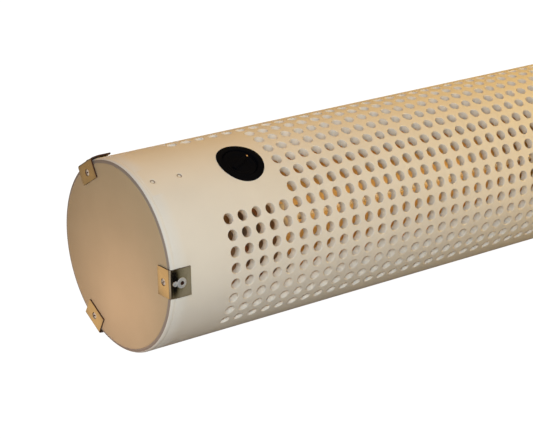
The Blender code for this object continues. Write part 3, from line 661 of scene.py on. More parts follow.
def make_tube_shell():
    x_lines, angle_lines = grid_lines()
    wall = Wall()
    holed = set()
    for columns, rows, x, angle, radius, blend_rings in holed_regions(x_lines, angle_lines):
        along = fine_line(x_lines, *columns)
        across = fine_line(angle_lines, *rows)
        outline = [(place, across[0]) for place in along[:-1]]
        outline += [(along[-1], a) for a in across[:-1]]
        outline += [(place, across[-1]) for place in along[:0:-1]]
        outline += [(along[0], a) for a in across[:0:-1]]
        wall.hole(outline, x, angle, radius, blend_rings)
        holed |= {(column, row) for column in range(columns[0], columns[1] + 1)
                  for row in range(rows[0], rows[1] + 1)}
    rows = len(angle_lines) - 1
    for column in range(len(x_lines) - 1):
        for row in range(rows):
            if (column, row) not in holed:
                plain_cell(wall, x_lines, angle_lines, column, row, holed)
    around = fine_line(angle_lines, 0, rows - 1)[:-1]
    for end, end_x in END_X.items():
        inner_x = end_x - OUTWARD[end] * TUBE_EDGE
        rings = [[(x, a, rho) for a in around] for x, rho in (
            (inner_x, TUBE_R), (end_x, TUBE_R - TUBE_EDGE), (end_x, INNER_R + TUBE_EDGE), (inner_x, INNER_R))]
        for ring, after in zip(rings, rings[1:]):
            wall.bridge(ring, after)
    show("tube_shell", smooth(bmesh_to_mesh(wall.bm), 60.0), ["inside"])


def plain_cell(wall, x_lines, angle_lines, column, row, holed):
    """A cell with no hole, in strips along X. A side shared with a holed cell has all that cell's points."""
    count = len(angle_lines) - 1
    across = fine_line(angle_lines, row, row)
    fine, coarse = fine_line(x_lines, column, column), x_lines[column:column + 2]
    for k in range(CELL_SIDE):
        low = fine if k == 0 and (column, (row - 1) % count) in holed else coarse
        high = fine if k == CELL_SIDE - 1 and (column, (row + 1) % count) in holed else coarse
        wall.skin([(x, across[k]) for x in low] + [(x, across[k + 1]) for x in reversed(high)])


# Ends

def cap_frame(end):
    """Frame of an end: local Z points out of that end and its origin is on the tube's end plane."""
    return along_frame(END_X[end], facing=OUTWARD[end])


def clip_angle(end, number):
    return angle_of(MOUNT_PLACE[f"{end}_clip_face_{number}"])


def clip_screw_frame(end, number):
    """Frame on a clip screw's axis, local Z out of the end and origin on the tube's end plane."""
    place = middle_of(f"{end}_clip_screw_{number}")
    return Matrix.Translation((0.0, place.y, place.z)) @ cap_frame(end)


def past_end(end, node, side=1.0):
    """How far a CAD node's box reaches from the tube's end plane, outwards (side 1) or inwards (side -1)."""
    return max(side * OUTWARD[end] * (corner.x - END_X[end]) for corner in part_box(node))


def cap_top(end):
    """Height of a cap's outer face over the tube's end plane."""
    return past_end(end, f"{end}_end_cap")


def make_end_cap(end):
    """Disc with a satin face, a fine groove round it and a rounded rim in the tube's paint; the groove and
    the first part of the rim's turn get a dark finish as painted shade.
    """
    top = cap_top(end)
    wide, flat = CAP_GROOVE, (CAP_FACE_R * 0.5, top)
    profile = [(0.0, top), flat]
    profile += rounded([flat, (CAP_FACE_R, top), (CAP_FACE_R + wide * 0.4, top - wide),
                        (CAP_FACE_R + wide * 1.4, top - wide), (CAP_FACE_R + wide * 1.9, top - wide * 0.3)],
                       0.0002)[1:]
    center = TUBE_R - CAP_EDGE_R
    for angle in spread(*CAP_EDGE_ARC):
        turn = radians(angle)
        profile.append((center + CAP_EDGE_R * sin(turn), top - CAP_EDGE_R * (1 - cos(turn))))
    spigot_r = INNER_R - 3 * GAP
    profile += [(TUBE_R, CAP_SEAM), (spigot_r, CAP_SEAM), (spigot_r, -CAP_SPIGOT), (0.0, -CAP_SPIGOT)]
    mesh = lathe(profile, cap_frame(end), 240)
    for number in CLIP_NUMBERS:
        place = clip_screw_frame(end, number)
        mesh = drill(mesh, SCREW_SHANK_R + GAP, -CAP_SPIGOT - PAST, top + PAST, place, 24)
    if end == "rear":
        size = (0.02, INLET_BODY[1] + 2 * GAP, INLET_BODY[2] + 2 * GAP)
        mesh = pocket(mesh, size, (REAR_X, 0.0, 0.0), 0.0008)
    # The satin face reaches into the groove; the rest of the groove and the rim's turn up to CAP_RIM_TURN get
    # the dark rim finish as painted shade.
    for face in mesh.polygons:
        rho, height = face.center.yz.length, abs(face.center.x - END_X[end])
        turned = degrees(atan2(rho - center, height - top + CAP_EDGE_R))
        if height > top - 2 * CAP_EDGE_R and turned < CAP_RIM_TURN:
            face.material_index = 1 if rho < CAP_FACE_R + wide else 2
    show(f"{end}_end_cap", mesh, ["cap_face", "cap_rim"])


def clip_outline(flange, leg, leg_end):
    """Inner and outer side of a clip as (along, out) points: its flange, its bend, then its leg, whose outer
    side rises a little after the bend."""
    inner = [(flange, CLIP_FLANGE_R)]
    outer = [(flange + CLIP_THICK, CLIP_FLANGE_R)]
    along, out, wide = flange - CLIP_BEND_R, leg - CLIP_BEND_R, CLIP_BEND_R + CLIP_THICK
    for turn in spread(0.0, pi / 2, CLIP_STEPS):
        inner.append((along + CLIP_BEND_R * cos(turn), out + CLIP_BEND_R * sin(turn)))
        outer.append((along + wide * cos(turn), out + (wide - CLIP_BOW) * sin(turn)))
    for share in spread(0.0, 1.0, CLIP_STEPS)[1:]:
        place = along - CLIP_BOW_L * share
        inner.append((place, leg))
        outer.append((place, leg + CLIP_THICK - CLIP_BOW * (1 - sin(pi / 2 * share))))
    inner.append((-leg_end, leg))
    outer.append((-leg_end, leg + CLIP_THICK))
    return inner, outer


def clip_strip(inner, outer, outward):
    """A clip's strip with rounded edges, along X and out along Z."""
    bm = bmesh.new()
    sides = [[bm.verts.new((outward * along, side, out)) for along, out in inner + outer[::-1]]
             for side in (-CLIP_WIDTH / 2, CLIP_WIDTH / 2)]
    skin(bm, sides)
    for side in sides:
        for k in range(len(inner) - 1):
            bm.faces.new((side[k], side[k + 1], side[-k - 2], side[-k - 1]))
    bevel_sharp(bm, CLIP_EDGE, 40.0)
    return bmesh_to_mesh(bm)


def make_clip(end, number):
    """Bent strip with a flush screw's hole, a rivet's hole and a small pip pressed beside the rivet. Its
    sheet edges carry painted shade, the pip's crown a painted highlight, and front_clip_1 is a darker
    painted-shade copy of the steel.
    """
    node = f"{end}_clip_{number}"
    flange, leg, angle = cap_top(end) + GAP, TUBE_R + GAP, clip_angle(end, number)
    mesh = clip_strip(*clip_outline(flange, leg, past_end(end, node, -1.0)), OUTWARD[end])
    mesh.transform(out_frame(END_X[end], angle))
    hole, face = SCREW_HEAD_R + GAP / 2, flange + CLIP_THICK
    cutter = [(0.0, flange + 0.003), (hole + 0.0002, flange + 0.003), (hole + 0.0002, face - 0.0001),
              (hole, face - 0.0003), (hole, flange - PAST), (0.0, flange - PAST)]
    mesh = combine(mesh, lathe(cutter, clip_screw_frame(end, number), 40))
    rivet = middle_of(f"{end}_clip_rivet_{number}")
    pip_x = rivet.x + OUTWARD[end] * PIP_BESIDE
    top = leg + CLIP_THICK - CLIP_BOW * 0.4
    pip = rounded([(radius, top + height) for radius, height in PIP_PROFILE], 0.0003)
    mesh = combine(mesh, lathe(pip, out_frame(pip_x, angle), 32), "UNION")
    mesh = drill(mesh, RIVET_SHANK_R + GAP, TUBE_R, TUBE_R + 0.003, out_frame(rivet.x, angle))
    level = out_frame(0.0, angle).inverted().to_3x3()
    for face in mesh.polygons:
        normal = level @ face.normal
        # The strip's sides and its free end get the near-black finish as painted shade and painted dark
        # reflection.
        free_end = face.center.yz.length < CLIP_FLANGE_R + CLIP_EDGE and normal.z < -0.6
        if abs(normal.y) > 0.6 or free_end:
            face.material_index = 1
        # The small faces on the pip's crown get the lighter screw finish as a painted highlight.
        beside = level @ face.center - Vector((pip_x, 0.0, 0.0))
        if beside.xy.length < PIP_R + 0.0001 and beside.z > top + 0.00005 and face.area < PIP_FACE_AREA:
            face.material_index = 2
    # front_clip_1 gets the darker copy of the steel as painted shade.
    look = "painted_shade_steel" if node == "front_clip_1" else "bright_steel"
    show(node, mesh, ["edge_and_hollow_shade", "screw_plate"], look)


def make_clip_rivet(end, number):
    """Domed hollow rivet with a rolled tail inside the wall."""
    node = f"{end}_clip_rivet_{number}"
    seat, tail, bore = TUBE_R + 2 * GAP + CLIP_THICK, INNER_R - 2 * GAP, RIVET_BORE_R
    dome = [(RIVET_HEAD_R * cos(turn), seat + RIVET_DOME * sin(turn))
            for turn in spread(0.0, pi / 2, 8)[:6]]
    profile = [(0.0, tail + 0.0008), (bore, tail + 0.0008), (bore, seat + 0.0006)]
    profile += rounded([(bore, seat + 0.0007), (bore + 0.0002, seat + 0.0009), dome[-1]], 0.0002)
    profile += dome[-2::-1] + [
        (RIVET_SHANK_R, seat), (RIVET_SHANK_R, tail + 0.0004), (0.0028, tail + 0.0003),
        (0.0027, tail - 0.0002), (0.0018, tail - 0.0004), (0.0, tail - 0.0004)]
    place = frame_at(node, clip_angle(end, number))
    mesh = lathe(profile, place)
    # The rivet's bore gets the near-black finish as painted shade.
    mark(mesh, place, lambda center: center.xy.length < bore + 0.00002)
    show(node, mesh, ["edge_and_hollow_shade"], "screw_plate")


def cross_recess(mesh, top, size, depth, place):
    """Cuts a cross recess in a screw's head: two small bars, turned a little off the tube's line."""
    for turn in (0.0, pi / 2):
        mesh = pocket(mesh, (size, size * 0.26, depth * 2), (0.0, 0.0, top), size * 0.05,
                      place @ Matrix.Rotation(turn + RECESS_TURN, 4, "Z"))
    return mesh


def pan_screw(node, place, seat, foot, head, shank, crown, shoulder, rim, waist, soft, slot, slot_depth):
    """Pan-head screw with a cross recess, from its seat to its foot on the local Z of a place."""
    profile = rounded([(0.0, seat + crown), (head * waist, seat + shoulder), (head, seat + rim), (head, seat),
                       (shank, seat), (shank, foot), (0.0, foot)], soft)
    show(node, cross_recess(lathe(profile, place, 40), seat + crown, slot, slot_depth, place))


def make_clip_screw(end, number):
    """Flush oval-topped screw with a cross recess."""
    under = cap_top(end) + GAP
    face = under + CLIP_THICK
    crown = [(SCREW_HEAD_R * share, face - 0.0001 - 0.0005 * share ** 2) for share in spread(0.0, 1.0, 6)]
    profile = crown + [(SCREW_HEAD_R, under), (SCREW_SHANK_R, under), (SCREW_SHANK_R, SCREW_FOOT),
                       (0.0, SCREW_FOOT)]
    place = clip_screw_frame(end, number)
    mesh = cross_recess(lathe(profile, place, 40), face, *SCREW_RECESS, place)
    # The deep faces of the recess get the near-black finish as painted shade.
    mark(mesh, place, lambda center: center.xy.length < 0.0018 and under < center.z < face - 0.00035)
    show(f"{end}_clip_screw_{number}", mesh, ["edge_and_hollow_shade"], "screw_plate")


def make_ends():
    for end in END_X:
        make_end_cap(end)
        for number in CLIP_NUMBERS:
            make_clip(end, number)
            make_clip_rivet(end, number)
            make_clip_screw(end, number)


# Heat control

def control_frame():
    return frame_at("control_bezel", CONTROL_ANGLE)


def make_bezel():
    """Thin rounded flange that follows the tube like a saddle, with the knob's cup inside it."""
    bore = KNOB_R + 0.0005
    floor = TUBE_R - CUP_DEPTH
    lip = rounded([(bore, 0.0), (bore + 0.0004, BEZEL_PROUD), (BEZEL_R - 0.0003, BEZEL_PROUD),
                   (BEZEL_R, CAP_SEAM)], 0.0004, 4)
    bm = bmesh.new()

    def ring(radius, height, on_tube):
        """A ring at a height over the tube's surface, or over the tube's axis."""
        verts = []
        for turn in spread(0.0, 2 * pi, 120)[:-1]:
            x, y = radius * cos(turn), radius * sin(turn)
            z = sqrt((TUBE_R + height) ** 2 - y * y) if on_tube else height
            verts.append(bm.verts.new((x, y, z)))
        return verts

    rings = [ring(bore, floor + CUP_FLOOR, False)] + [ring(*point, True) for point in lip]
    rings += [ring(CUP_R, CAP_SEAM, True), ring(CUP_R, floor, False)]
    rings += [ring(CUP_HOLE_R, height, False) for height in (floor, floor + CUP_FLOOR)]
    skin(bm, rings, closed=True)
    mesh = bmesh_to_mesh(bm)
    mesh.transform(control_frame())
    show("control_bezel", smooth(mesh))


def make_knob():
    """Low dial with a raised rim, a soft boss, a grip bar and the index dot, sunk in the bezel's cup."""
    place = control_frame() @ Matrix.Rotation(radians(INDEX_TURN), 4, "Z")
    top = TUBE_R - KNOB_SUNK
    base, dish, boss = top - KNOB_THICK, top - 0.0008, top - 0.0003
    profile = [(0.0, boss)] + rounded([
        (0.0, boss), (0.0054, boss), (0.0062, dish), (0.0104, dish), (0.0114, top), (KNOB_R - 0.0006, top),
        (KNOB_R, top - 0.0008), (KNOB_R, base)], 0.0006)[1:] + [(0.0, base)]
    knob = combine(lathe(profile, place, 96), rounded_box(GRIP_SIZE, (0.0, 0.0, top), 0.0008, place), "UNION")
    knob = drill(knob, SHAFT_R + GAP, base - PAST, base + KNOB_BORE, place)
    index_place = place @ Matrix.Translation((INDEX_PLACE_R, 0.0, 0.0))
    knob = drill(knob, INDEX_R + 0.0002, top - 0.0009, top + PAST, index_place)
    show("control_knob", knob)
    dot = [(0.0, top + 0.0003), (INDEX_R * 0.7, top + 0.0002), (INDEX_R, top - 0.0002),
           (INDEX_R, top - 0.0008), (0.0, top - 0.0008)]
    show("knob_index", lathe(rounded(dot, 0.0003), index_place, 32))
    low, high = base - SHAFT_BELOW, base + KNOB_BORE - GAP
    shaft = [(0.0, high), (SHAFT_R, high), (SHAFT_R, low), (0.0, low)]
    show("control_shaft", lathe(rounded(shaft, 0.0004), place, 32))


def make_control_rivets():
    """Flush rivets of the control's bracket, painted over with the tube, with a ring of painted shade in
    their dish.
    """
    foot = BRACKET_TOP_R - BRACKET_THICK - GAP
    head = TUBE_R - 0.0002
    edge = RIVET_SHANK_R + GAP - 0.00002
    profile = [(0.0, head - 0.0008), (0.0008, head - 0.00075), (0.0014, head - 0.00055),
               (0.0020, head - 0.0001), (0.0022, head), (edge, head), (edge, foot),
               (0.0036, foot), (0.0036, foot - 0.0014), (0.0, foot - 0.0014)]
    for number in (1, 2):
        node = f"bracket_rivet_{number}"
        place = frame_at(node, CONTROL_ANGLE)
        mesh = lathe(profile, place, 40)
        # A ring in the dish gets the dark rim finish as painted shade.
        mark(mesh, place, lambda center: 0.0013 < center.xy.length < 0.0021 and center.z > head - 0.001)
        show(node, mesh, ["cap_rim"])


# Lamp

def make_lamp():
    """Quartz tube with a coiled filament."""
    low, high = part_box("lamp_tube")
    length, outer = high.x - low.x, (high.y - low.y) / 2
    inner = outer - QUARTZ_WALL
    wall = rounded([(inner, length), (outer, length), (outer, 0.0), (inner, 0.0)], 0.0003, closed=True)
    show("lamp_tube", lathe(wall, lamp_place(low.x), closed=True)).visible_shadow = False
    make_coil("lamp_filament", FILAMENT_R, FILAMENT_WIRE_R, FILAMENT_TURNS, 12, 0.0005).visible_shadow = False


def lamp_place(x, facing=1.0):
    """Frame on the lamp's axis, local Z along the tube."""
    center = middle_of("lamp_tube")
    return along_frame(x, center.y, center.z, facing)


def make_coil(node, coil_r, wire_r, turns, steps, margin):
    """Wire wound round the lamp's axis, over its CAD node's length less a margin at each end."""
    low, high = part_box(node)
    center = middle_of("lamp_tube")
    points = []
    for i, x in enumerate(spread(low.x + margin, high.x - margin, turns * steps)):
        turn = 2 * pi * i / steps
        points.append((x, center.y + coil_r * sin(turn), center.z + coil_r * cos(turn)))
    return show(node, wire(points, wire_r))


def make_lamp_bases():
    """Ceramic caps of the lamp, each with a groove."""
    for end, side, facing in (("front", 0, 1.0), ("rear", 1, -1.0)):
        node = f"lamp_base_{end}"
        low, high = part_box(node)
        length, radius = high.x - low.x, (high.y - low.y) / 2
        groove = radius - 0.0007
        profile = rounded([(0.0, length), (radius - 0.0025, length), (radius, length - 0.002),
                           (radius, length * 0.60), (groove, length * 0.56), (groove, length * 0.46),
                           (radius, length * 0.42), (radius, 0.0), (0.0, 0.0)], 0.0005)
        show(node, lathe(profile, lamp_place((low.x, high.x)[side], facing)))


def make_holders():
    """Ceramic holders with softened edges, grooved sides and a bore for the contact."""
    for end, bore in (("front", FRONT_BORE), ("rear", REAR_BORE)):
        node = f"lamp_holder_{end}"
        place = frame_at(node, BACK_ANGLE)
        mesh = rounded_box(HOLDER_SIZE, (0.0, 0.0, LAMP_OFFSET), 0.0009, place)
        groove = (0.0018, 0.0016, HOLDER_SIZE[2] * 0.6)
        for side in (-1.0, 1.0):
            for along in (-0.006, 0.0, 0.006):
                mesh = pocket(mesh, groove, (along, side * HOLDER_SIZE[1] / 2, LAMP_OFFSET), 0.0004, place)
        show(node, drill(mesh, *bore, lamp_place(middle_of(node).x - HOLDER_SIZE[0] / 2)))


def make_contacts():
    """Turned contacts, and the spring that the rear one squeezes as it slides back."""
    tip, wide = CONTACT_TIP, CONTACT_R
    fixed = rounded([(0.0, tip), (wide - 0.001, tip - 0.0004), (wide, tip - 0.002), (wide, -0.001),
                     (wide - 0.0004, -0.0013), (wide - 0.0004, -0.0022), (wide, -0.0025),
                     (wide, -CONTACT_TAIL), (0.0, -CONTACT_TAIL)], 0.0003)
    place = lamp_place(middle_of("lamp_holder_front").x + HOLDER_SIZE[0] / 2)
    show("fixed_contact", lathe(fixed, place, 40))
    stem, collar, nose, seat, end = PLUNGER
    plunger = rounded([(0.0, end), (stem, end), (stem, seat), (collar, seat), (collar, 0.0005),
                       (nose, 0.0005), (nose, 0.0006 - tip), (nose / 2, -tip), (0.0, -tip)], 0.0003)
    place = lamp_place(middle_of("lamp_holder_rear").x - HOLDER_SIZE[0] / 2)
    show("contact_plunger", lathe(plunger, place, 40))
    spring = make_coil("contact_spring", SPRING_R, SPRING_WIRE_R, SPRING_TURNS, 24, SPRING_WIRE_R)
    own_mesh(spring)


def make_lamp_brackets():
    """Pressed plates across the tube, each with a tapped block at the back and its screw."""
    half = acos(PLATE_CHORD / PLATE_R)
    turns = spread(-half, half, 64)
    for end in END_X:
        node = f"lamp_bracket_{end}"
        low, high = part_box(node)
        place = out_frame(high.x - PLATE_THICK if end == "front" else low.x, BACK_ANGLE)
        bm = bmesh.new()
        outline = [bm.verts.new((0.0, PLATE_R * sin(turn), PLATE_R * cos(turn))) for turn in turns]
        grown = bmesh.ops.extrude_face_region(bm, geom=[bm.faces.new(outline)])
        moved = [item for item in grown["geom"] if isinstance(item, bmesh.types.BMVert)]
        bmesh.ops.translate(bm, vec=(PLATE_THICK, 0.0, 0.0), verts=moved)
        bevel_sharp(bm, 0.0003, 60.0)
        mesh = bmesh_to_mesh(bm)
        mesh.transform(place)
        beside = PLATE_BLOCK[0] / 2 - GAP
        along = -beside if end == "front" else PLATE_THICK + beside
        middle = (along, 0.0, PLATE_R - GAP - PLATE_BLOCK[2] / 2)
        mesh = combine(mesh, rounded_box(PLATE_BLOCK, middle, 0.0006, place), "UNION")
        screw = frame_at(f"bracket_screw_{end}", BACK_ANGLE)
        bore = (BRACKET_SCREW["shank"] + GAP, BRACKET_SCREW_FOOT_R - GAP, TUBE_R)
        show(node, drill(mesh, *bore, screw))
        pan_screw(f"bracket_screw_{end}", screw, TUBE_R + GAP, BRACKET_SCREW_FOOT_R, **BRACKET_SCREW)


def make_regulator():
    """Moulded regulator with a threaded bush, in line with the knob."""
    place = control_frame()
    top = BRACKET_TOP_R - BRACKET_THICK - GAP
    size = REGULATOR_SIZE
    body = rounded_box(size, (0.0, 0.0, top - size[2] / 2), 0.0012, place)
    for along in (-0.008, 0.0, 0.008):
        body = pocket(body, (0.0014, size[1] + 0.002, 0.0012), (along, 0.0, top - size[2]), 0.0003, place)
    bush_top = TUBE_R - KNOB_SUNK - KNOB_THICK - GAP
    thread = [(0.0, bush_top), (BUSH_R - 0.0004, bush_top)]
    flanks = 2 * BUSH_THREADS
    for i in range(flanks):
        thread.append((BUSH_R - (0.0003 if i % 2 else 0.0), bush_top - (bush_top - top) * (i + 0.5) / flanks))
    thread += [(BUSH_R, top - GAP), (0.0, top - GAP)]
    body = combine(body, lathe(thread, place, 40), "UNION")
    show("heat_regulator", drill(body, SHAFT_R + GAP, top - REGULATOR_BORE, TUBE_R, place))


def make_nut_and_strip():
    """The bush's thin nut, and the plain strip that is riveted in the tube and carries the regulator."""
    seat = TUBE_R - CUP_DEPTH + CUP_FLOOR + GAP
    top = seat + NUT_THICK
    flat = rounded([(0.0, top), (NUT_R - 0.0006, top), (NUT_R, top - 0.0004), (NUT_R, seat + 0.0003),
                    (NUT_R - 0.0004, seat), (0.0, seat)], 0.0002)
    nut = lathe(flat, control_frame(), 6)
    show("control_nut", drill(nut, NUT_BORE_R, seat - PAST, top + PAST, control_frame()))
    low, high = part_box("control_bracket")
    strip = rounded_box((high.x - low.x, BRACKET_WIDTH, BRACKET_THICK),
                        ((low.x + high.x) / 2, 0.0, -BRACKET_THICK / 2), 0.0004,
                        out_frame(0.0, CONTROL_ANGLE, BRACKET_TOP_R))
    reach = 0.004
    for node, radius in (("control_bezel", BUSH_R), ("bracket_rivet_1", RIVET_SHANK_R),
                         ("bracket_rivet_2", RIVET_SHANK_R)):
        strip = drill(strip, radius + GAP, BRACKET_TOP_R - reach, BRACKET_TOP_R + reach,
                      frame_at(node, CONTROL_ANGLE))
    show("control_bracket", strip)


def make_inlet():
    """Appliance inlet with a softened flange and mouth, its blades and its screws."""
    low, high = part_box("power_inlet")
    mouth, face = high.x, high.x - INLET_FLANGE
    flange = (INLET_FLANGE, high.y - low.y, high.z - low.z)
    inlet = rounded_box(flange, (face + INLET_FLANGE / 2, 0.0, 0.0), 0.0009)
    body = rounded_box(INLET_BODY, (face + 0.001 - INLET_BODY[0] / 2, 0.0, 0.0), 0.0010)
    inlet = combine(inlet, body, "UNION")
    rim = (0.0022, INLET_CAVITY[1] + 0.0034, INLET_CAVITY[2] + 0.0034)
    inlet = pocket(inlet, rim, (mouth + 0.0005, 0.0, 0.0), 0.0010)
    inlet = pocket(inlet, INLET_CAVITY, (mouth + 0.001 - INLET_CAVITY[0] / 2, 0.0, 0.0), 0.0016)
    for name in ("live", "neutral", "earth"):
        node = f"inlet_blade_{name}"
        start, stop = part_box(node)
        middle, size = (start + stop) / 2, stop - start
        inlet = pocket(inlet, [side + 2 * GAP for side in size], middle, 0.0002)
        show(node, rounded_box(size, middle, 0.0007))
    for number in (1, 2):
        node = f"inlet_screw_{number}"
        place = along_frame(0.0, y=middle_of(node).y)
        inlet = drill(inlet, INLET_SCREW["shank"] + GAP, face - 0.002, mouth + PAST, place)
        pan_screw(node, place, mouth + GAP, REAR_X + SCREW_FOOT, **INLET_SCREW)
    show("power_inlet", inlet)


def make_terminal_block():
    """Ceramic block with a rib between its two screw wells."""
    place = frame_at("terminal_block", BACK_ANGLE, TERMINAL_PLACE_R)
    size = TERMINAL_SIZE
    block = rounded_box(size, (0.0, 0.0, 0.0), 0.0008, place)
    for side in (-1.0, 1.0):
        well = place @ Matrix.Translation((0.0, side * size[1] / 4, 0.0))
        block = drill(block, 0.0032, 0.0, size[2], well)
        groove = (size[0] + 0.002, 0.0010, 0.003)
        block = pocket(block, groove, (0.0, side * 0.0015, size[2] / 2), 0.0003, place)
    show("terminal_block", block)


def make_reflector():
    """Bright sheet curved round behind the lamp."""
    low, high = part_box("reflector")
    count = 64
    bm = bmesh.new()
    angles = spread(BACK_ANGLE - REFLECTOR_HALF, BACK_ANGLE + REFLECTOR_HALF, count)
    inner, outer = REFLECTOR_R - REFLECTOR_THICK / 2, REFLECTOR_R + REFLECTOR_THICK / 2
    loops = [[bm.verts.new(Vector((x, 0.0, 0.0)) + radial(a) * rho) for a in angles]
             for x, rho in ((low.x, inner), (low.x, outer), (high.x, outer), (high.x, inner))]
    for first, second in zip(loops, loops[1:] + loops[:1]):
        for k in range(count):
            bm.faces.new((first[k], first[k + 1], second[k + 1], second[k]))
    for k in (0, count):
        bm.faces.new([loop[k] for loop in loops])
    show("reflector", smooth(bmesh_to_mesh(bm)))


def dress_kept_nodes():
    """CAD nodes whose shape is right stay and get their slot's finish."""
    for node, obj in NODES.items():
        if not obj.hide_render:
            obj.data.materials.clear()
            obj.data.materials.append(FINISHES[SLOT_OF[node]])


# Stage

VIEW_AZIMUTH = 36.217
VIEW_ELEVATION = 18.990
VIEW_ROLL = -0.889
VIEW_DISTANCE = 1.5512
VIEW_LENS = 117.378
VIEW_TARGET = Vector((FRONT_X + 0.15303, 0.0, -0.00119))


def make_camera():
    azimuth, elevation, roll = (radians(a) for a in (VIEW_AZIMUTH, VIEW_ELEVATION, VIEW_ROLL))
    forward = Vector((sin(azimuth) * cos(elevation), cos(azimuth) * cos(elevation), -sin(elevation)))
    level = Vector((cos(azimuth), -sin(azimuth), 0.0))
    upright = level.cross(forward)
    right = level * cos(roll) + upright * sin(roll)
    axes = Matrix((right, right.cross(forward), -forward)).transposed()
    data = bpy.data.cameras.new("camera")
    data.lens = VIEW_LENS
    data.sensor_width = 36.0
    data.clip_start, data.clip_end = 0.01, 50.0
    camera = add_object("camera", data)
    camera.matrix_world = Matrix.Translation(VIEW_TARGET - forward * VIEW_DISTANCE) @ axes.to_4x4()
    bpy.context.scene.camera = camera


# Soft light from each side of the room, as (direction, colour)
ROOM_LIGHT = (
    ((-1.0, 0.0, 0.0), (0.12, 0.07, 0.05)),
    ((0.0, 0.0, -1.0), (0.08, 0.11, 0.19)),
    ((1.0, 0.0, 0.0), (0.05, 0.04, 0.03)),
    ((0.0, -0.5, 0.85), (0.14, 0.05, 0.03)),
)

# What bright metal mirrors, as (direction, colour, sharpness), over a base colour
MIRROR_BASE = (0.16, 0.13, 0.10)
MIRROR_LEAST = (0.004, 0.004, 0.004)
MIRRORED = (
    ((-0.56, 0.76, -0.33), (0.62, 0.36, 0.12), 5.0),
    ((0.56, -0.76, -0.33), (0.17, 0.17, 0.12), 6.0),
    ((0.16, -0.93, -0.33), (-0.46, -0.42, -0.34), 14.0),
    ((-0.56, -0.76, 0.33), (1.20, 1.15, 1.05), 30.0),
    ((-0.80, -0.50, -0.33), (0.50, 0.42, 0.30), 14.0),
    ((0.0, 0.2, 1.0), (0.25, 0.20, 0.12), 2.0),
)

# Lamps, as (place or None for the camera's own, size, power, colour)
FLASH_RISE = 0.12
STUDIO_LAMPS = {
    "flash": (None, 0.12, 10.0, (1.32, 1.53, 1.66)),
    "high_back": ((0.1, 0.9, 1.0), 0.5, 10.0, (0.76, 0.45, 0.12)),
    "near_cap": ((-0.40, -0.005, -0.045), 0.06, 0.058, (1.0, 0.76, 0.70)),
    "soft_back": ((0.1, 1.1, 0.0), 0.6, 10.0, (0.25, 0.45, 0.72)),
    "low_right": ((0.50, -0.45, -0.03), 0.25, 0.80, (1.0, 0.69, 0.25)),
    "warm_right": ((0.45, -0.35, 0.55), 0.3, 5.0, (0.47, 0.30, 0.02)),
}
LIT_PLACE = Vector((-0.15, 0.0, 0.0))
GLOW_SIZE = (0.36, 0.03)
GLOW_POWER = 0.036
GLOW_COLOR = (1.0, 0.80, 0.44)
LEAK_X = 0.085
LEAK_R = 0.02
LEAK_POWER = 0.06
LEAK_COLOR = (1.0, 0.66, 0.34)
FLOOR_HALF = 12.0
FLOOR_COLOR = (0.45, 0.45, 0.46, 1.0)
FLOOR_GLOW = 1.12
FLOOR_GLOW_SHARE = 0.92


def lobe_sum(tree, direction, lobes):
    """Sum of soft colour lobes, each strongest along its own direction."""
    total = None
    for toward, color, sharpness in lobes:
        dot = add_node(tree, "VectorMath", {0: direction, 1: Vector(toward).normalized()},
                       operation="DOT_PRODUCT")
        lit = add_node(tree, "Math", {0: dot.outputs["Value"], 1: 0.0}, operation="MAXIMUM")
        lobe = add_node(tree, "Math", {0: lit.outputs[0], 1: sharpness}, operation="POWER")
        tint = add_node(tree, "VectorMath", {0: color, 3: lobe.outputs[0]}, operation="SCALE")
        if total is None:
            total = tint.outputs["Vector"]
        else:
            total = add_node(tree, "VectorMath", {0: total, 1: tint.outputs["Vector"]},
                             operation="ADD").outputs["Vector"]
    return total


def make_world():
    """White to the camera, a warm room of light and dark sides in mirrors, and soft light elsewhere."""
    world = bpy.data.worlds.new("studio")
    bpy.context.scene.world = world
    world.use_nodes = True
    tree = world.node_tree
    direction = add_node(tree, "TexCoord").outputs["Generated"]
    path = add_node(tree, "LightPath")
    light = lobe_sum(tree, direction, [(*lobe, 1.0) for lobe in ROOM_LIGHT])
    room = lobe_sum(tree, direction, MIRRORED)
    for color, operation in ((MIRROR_BASE, "ADD"), (MIRROR_LEAST, "MAXIMUM")):
        room = add_node(tree, "VectorMath", {0: room, 1: color}, operation=operation).outputs["Vector"]
    unseen = mix_color(tree, path.outputs["Is Glossy Ray"], light, room)
    seen = mix_color(tree, path.outputs["Is Camera Ray"], unseen, (1.0, 1.0, 1.0, 1.0))
    tree.links.new(seen, tree.nodes["Background"].inputs["Color"])


def add_lamp(name, kind, power, color, in_mirrors=False):
    """A lamp that the camera doesn't see."""
    data = bpy.data.lights.new(name, kind)
    data.energy, data.color = power, color
    lamp = add_object(name, data)
    lamp.visible_camera = False
    lamp.visible_glossy = in_mirrors
    return lamp


def make_lamps():
    """The flash over the camera, and the studio's soft lamps."""
    eye = bpy.context.scene.camera.matrix_world.translation
    for name, (place, size, power, color) in STUDIO_LAMPS.items():
        lamp = add_lamp(name, "AREA", power, color)
        lamp.data.size = size
        lamp.location = eye + Vector((0.0, 0.0, FLASH_RISE)) if place is None else place
        lamp.rotation_mode = "QUATERNION"
        lamp.rotation_quaternion = (lamp.location - LIT_PLACE).to_track_quat("Z", "Y")


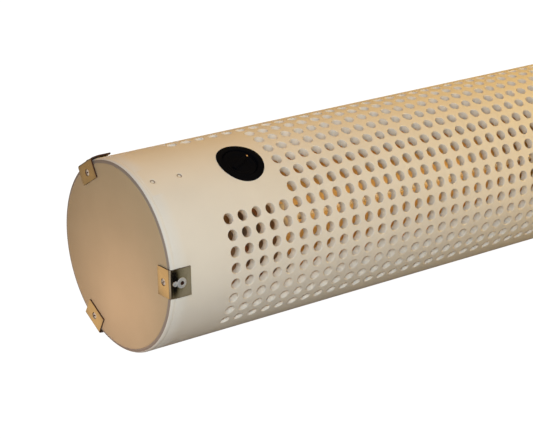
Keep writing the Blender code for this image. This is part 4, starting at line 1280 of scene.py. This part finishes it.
def make_lamp_glow():
    """Warm light that the lamp throws on its reflector."""
    glow = add_lamp("lamp_glow", "AREA", GLOW_POWER, GLOW_COLOR, in_mirrors=True)
    glow.data.shape = "RECTANGLE"
    glow.data.size, glow.data.size_y = GLOW_SIZE
    glow.matrix_world = frame_at("lamp_tube", BACK_ANGLE) @ Matrix.Rotation(pi, 4, "X")


def make_leak_glow():
    """Warm light in each end of the tube, behind the first columns of holes."""
    for end, end_x in END_X.items():
        leak = add_lamp(f"{end}_leak", "POINT", LEAK_POWER, LEAK_COLOR)
        leak.data.shadow_soft_size = LEAK_R
        leak.location = (end_x - OUTWARD[end] * LEAK_X, 0.0, 0.0)


def make_floor():
    """Pale floor under the tube, nearly white to the camera."""
    bm = bmesh.new()
    bmesh.ops.create_grid(bm, x_segments=2, y_segments=2, size=FLOOR_HALF)
    floor = add_object("floor", bmesh_to_mesh(bm))
    floor.location.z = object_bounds()[0].z - 0.0001
    material = bpy.data.materials.new("pale_floor")
    material.use_nodes = True
    tree = material.node_tree
    shader = shader_of(material)
    shader.inputs["Base Color"].default_value = FLOOR_COLOR
    shader.inputs["Roughness"].default_value = 0.9
    path = add_node(tree, "LightPath")
    glow = add_node(tree, "Emission", {"Color": (1.0, 1.0, 1.0, 1.0), "Strength": FLOOR_GLOW})
    share = add_node(tree, "Math", {0: path.outputs["Is Camera Ray"], 1: FLOOR_GLOW_SHARE},
                     operation="MULTIPLY")
    both = add_node(tree, "MixShader",
                    {0: share.outputs[0], 1: shader.outputs["BSDF"], 2: glow.outputs["Emission"]})
    tree.links.new(both.outputs["Shader"], tree.nodes["Material Output"].inputs["Surface"])
    floor.data.materials.append(material)
    floor.visible_glossy = False


make_tube_shell()
make_ends()
make_bezel()
make_knob()
make_control_rivets()
make_lamp()
make_lamp_bases()
make_holders()
make_contacts()
make_lamp_brackets()
make_regulator()
make_nut_and_strip()
make_inlet()
make_terminal_block()
make_reflector()
dress_kept_nodes()
make_floor()
make_world()
make_camera()
make_lamps()
make_lamp_glow()
make_leak_glow()
bpy.context.scene.view_settings.view_transform = "Standard"
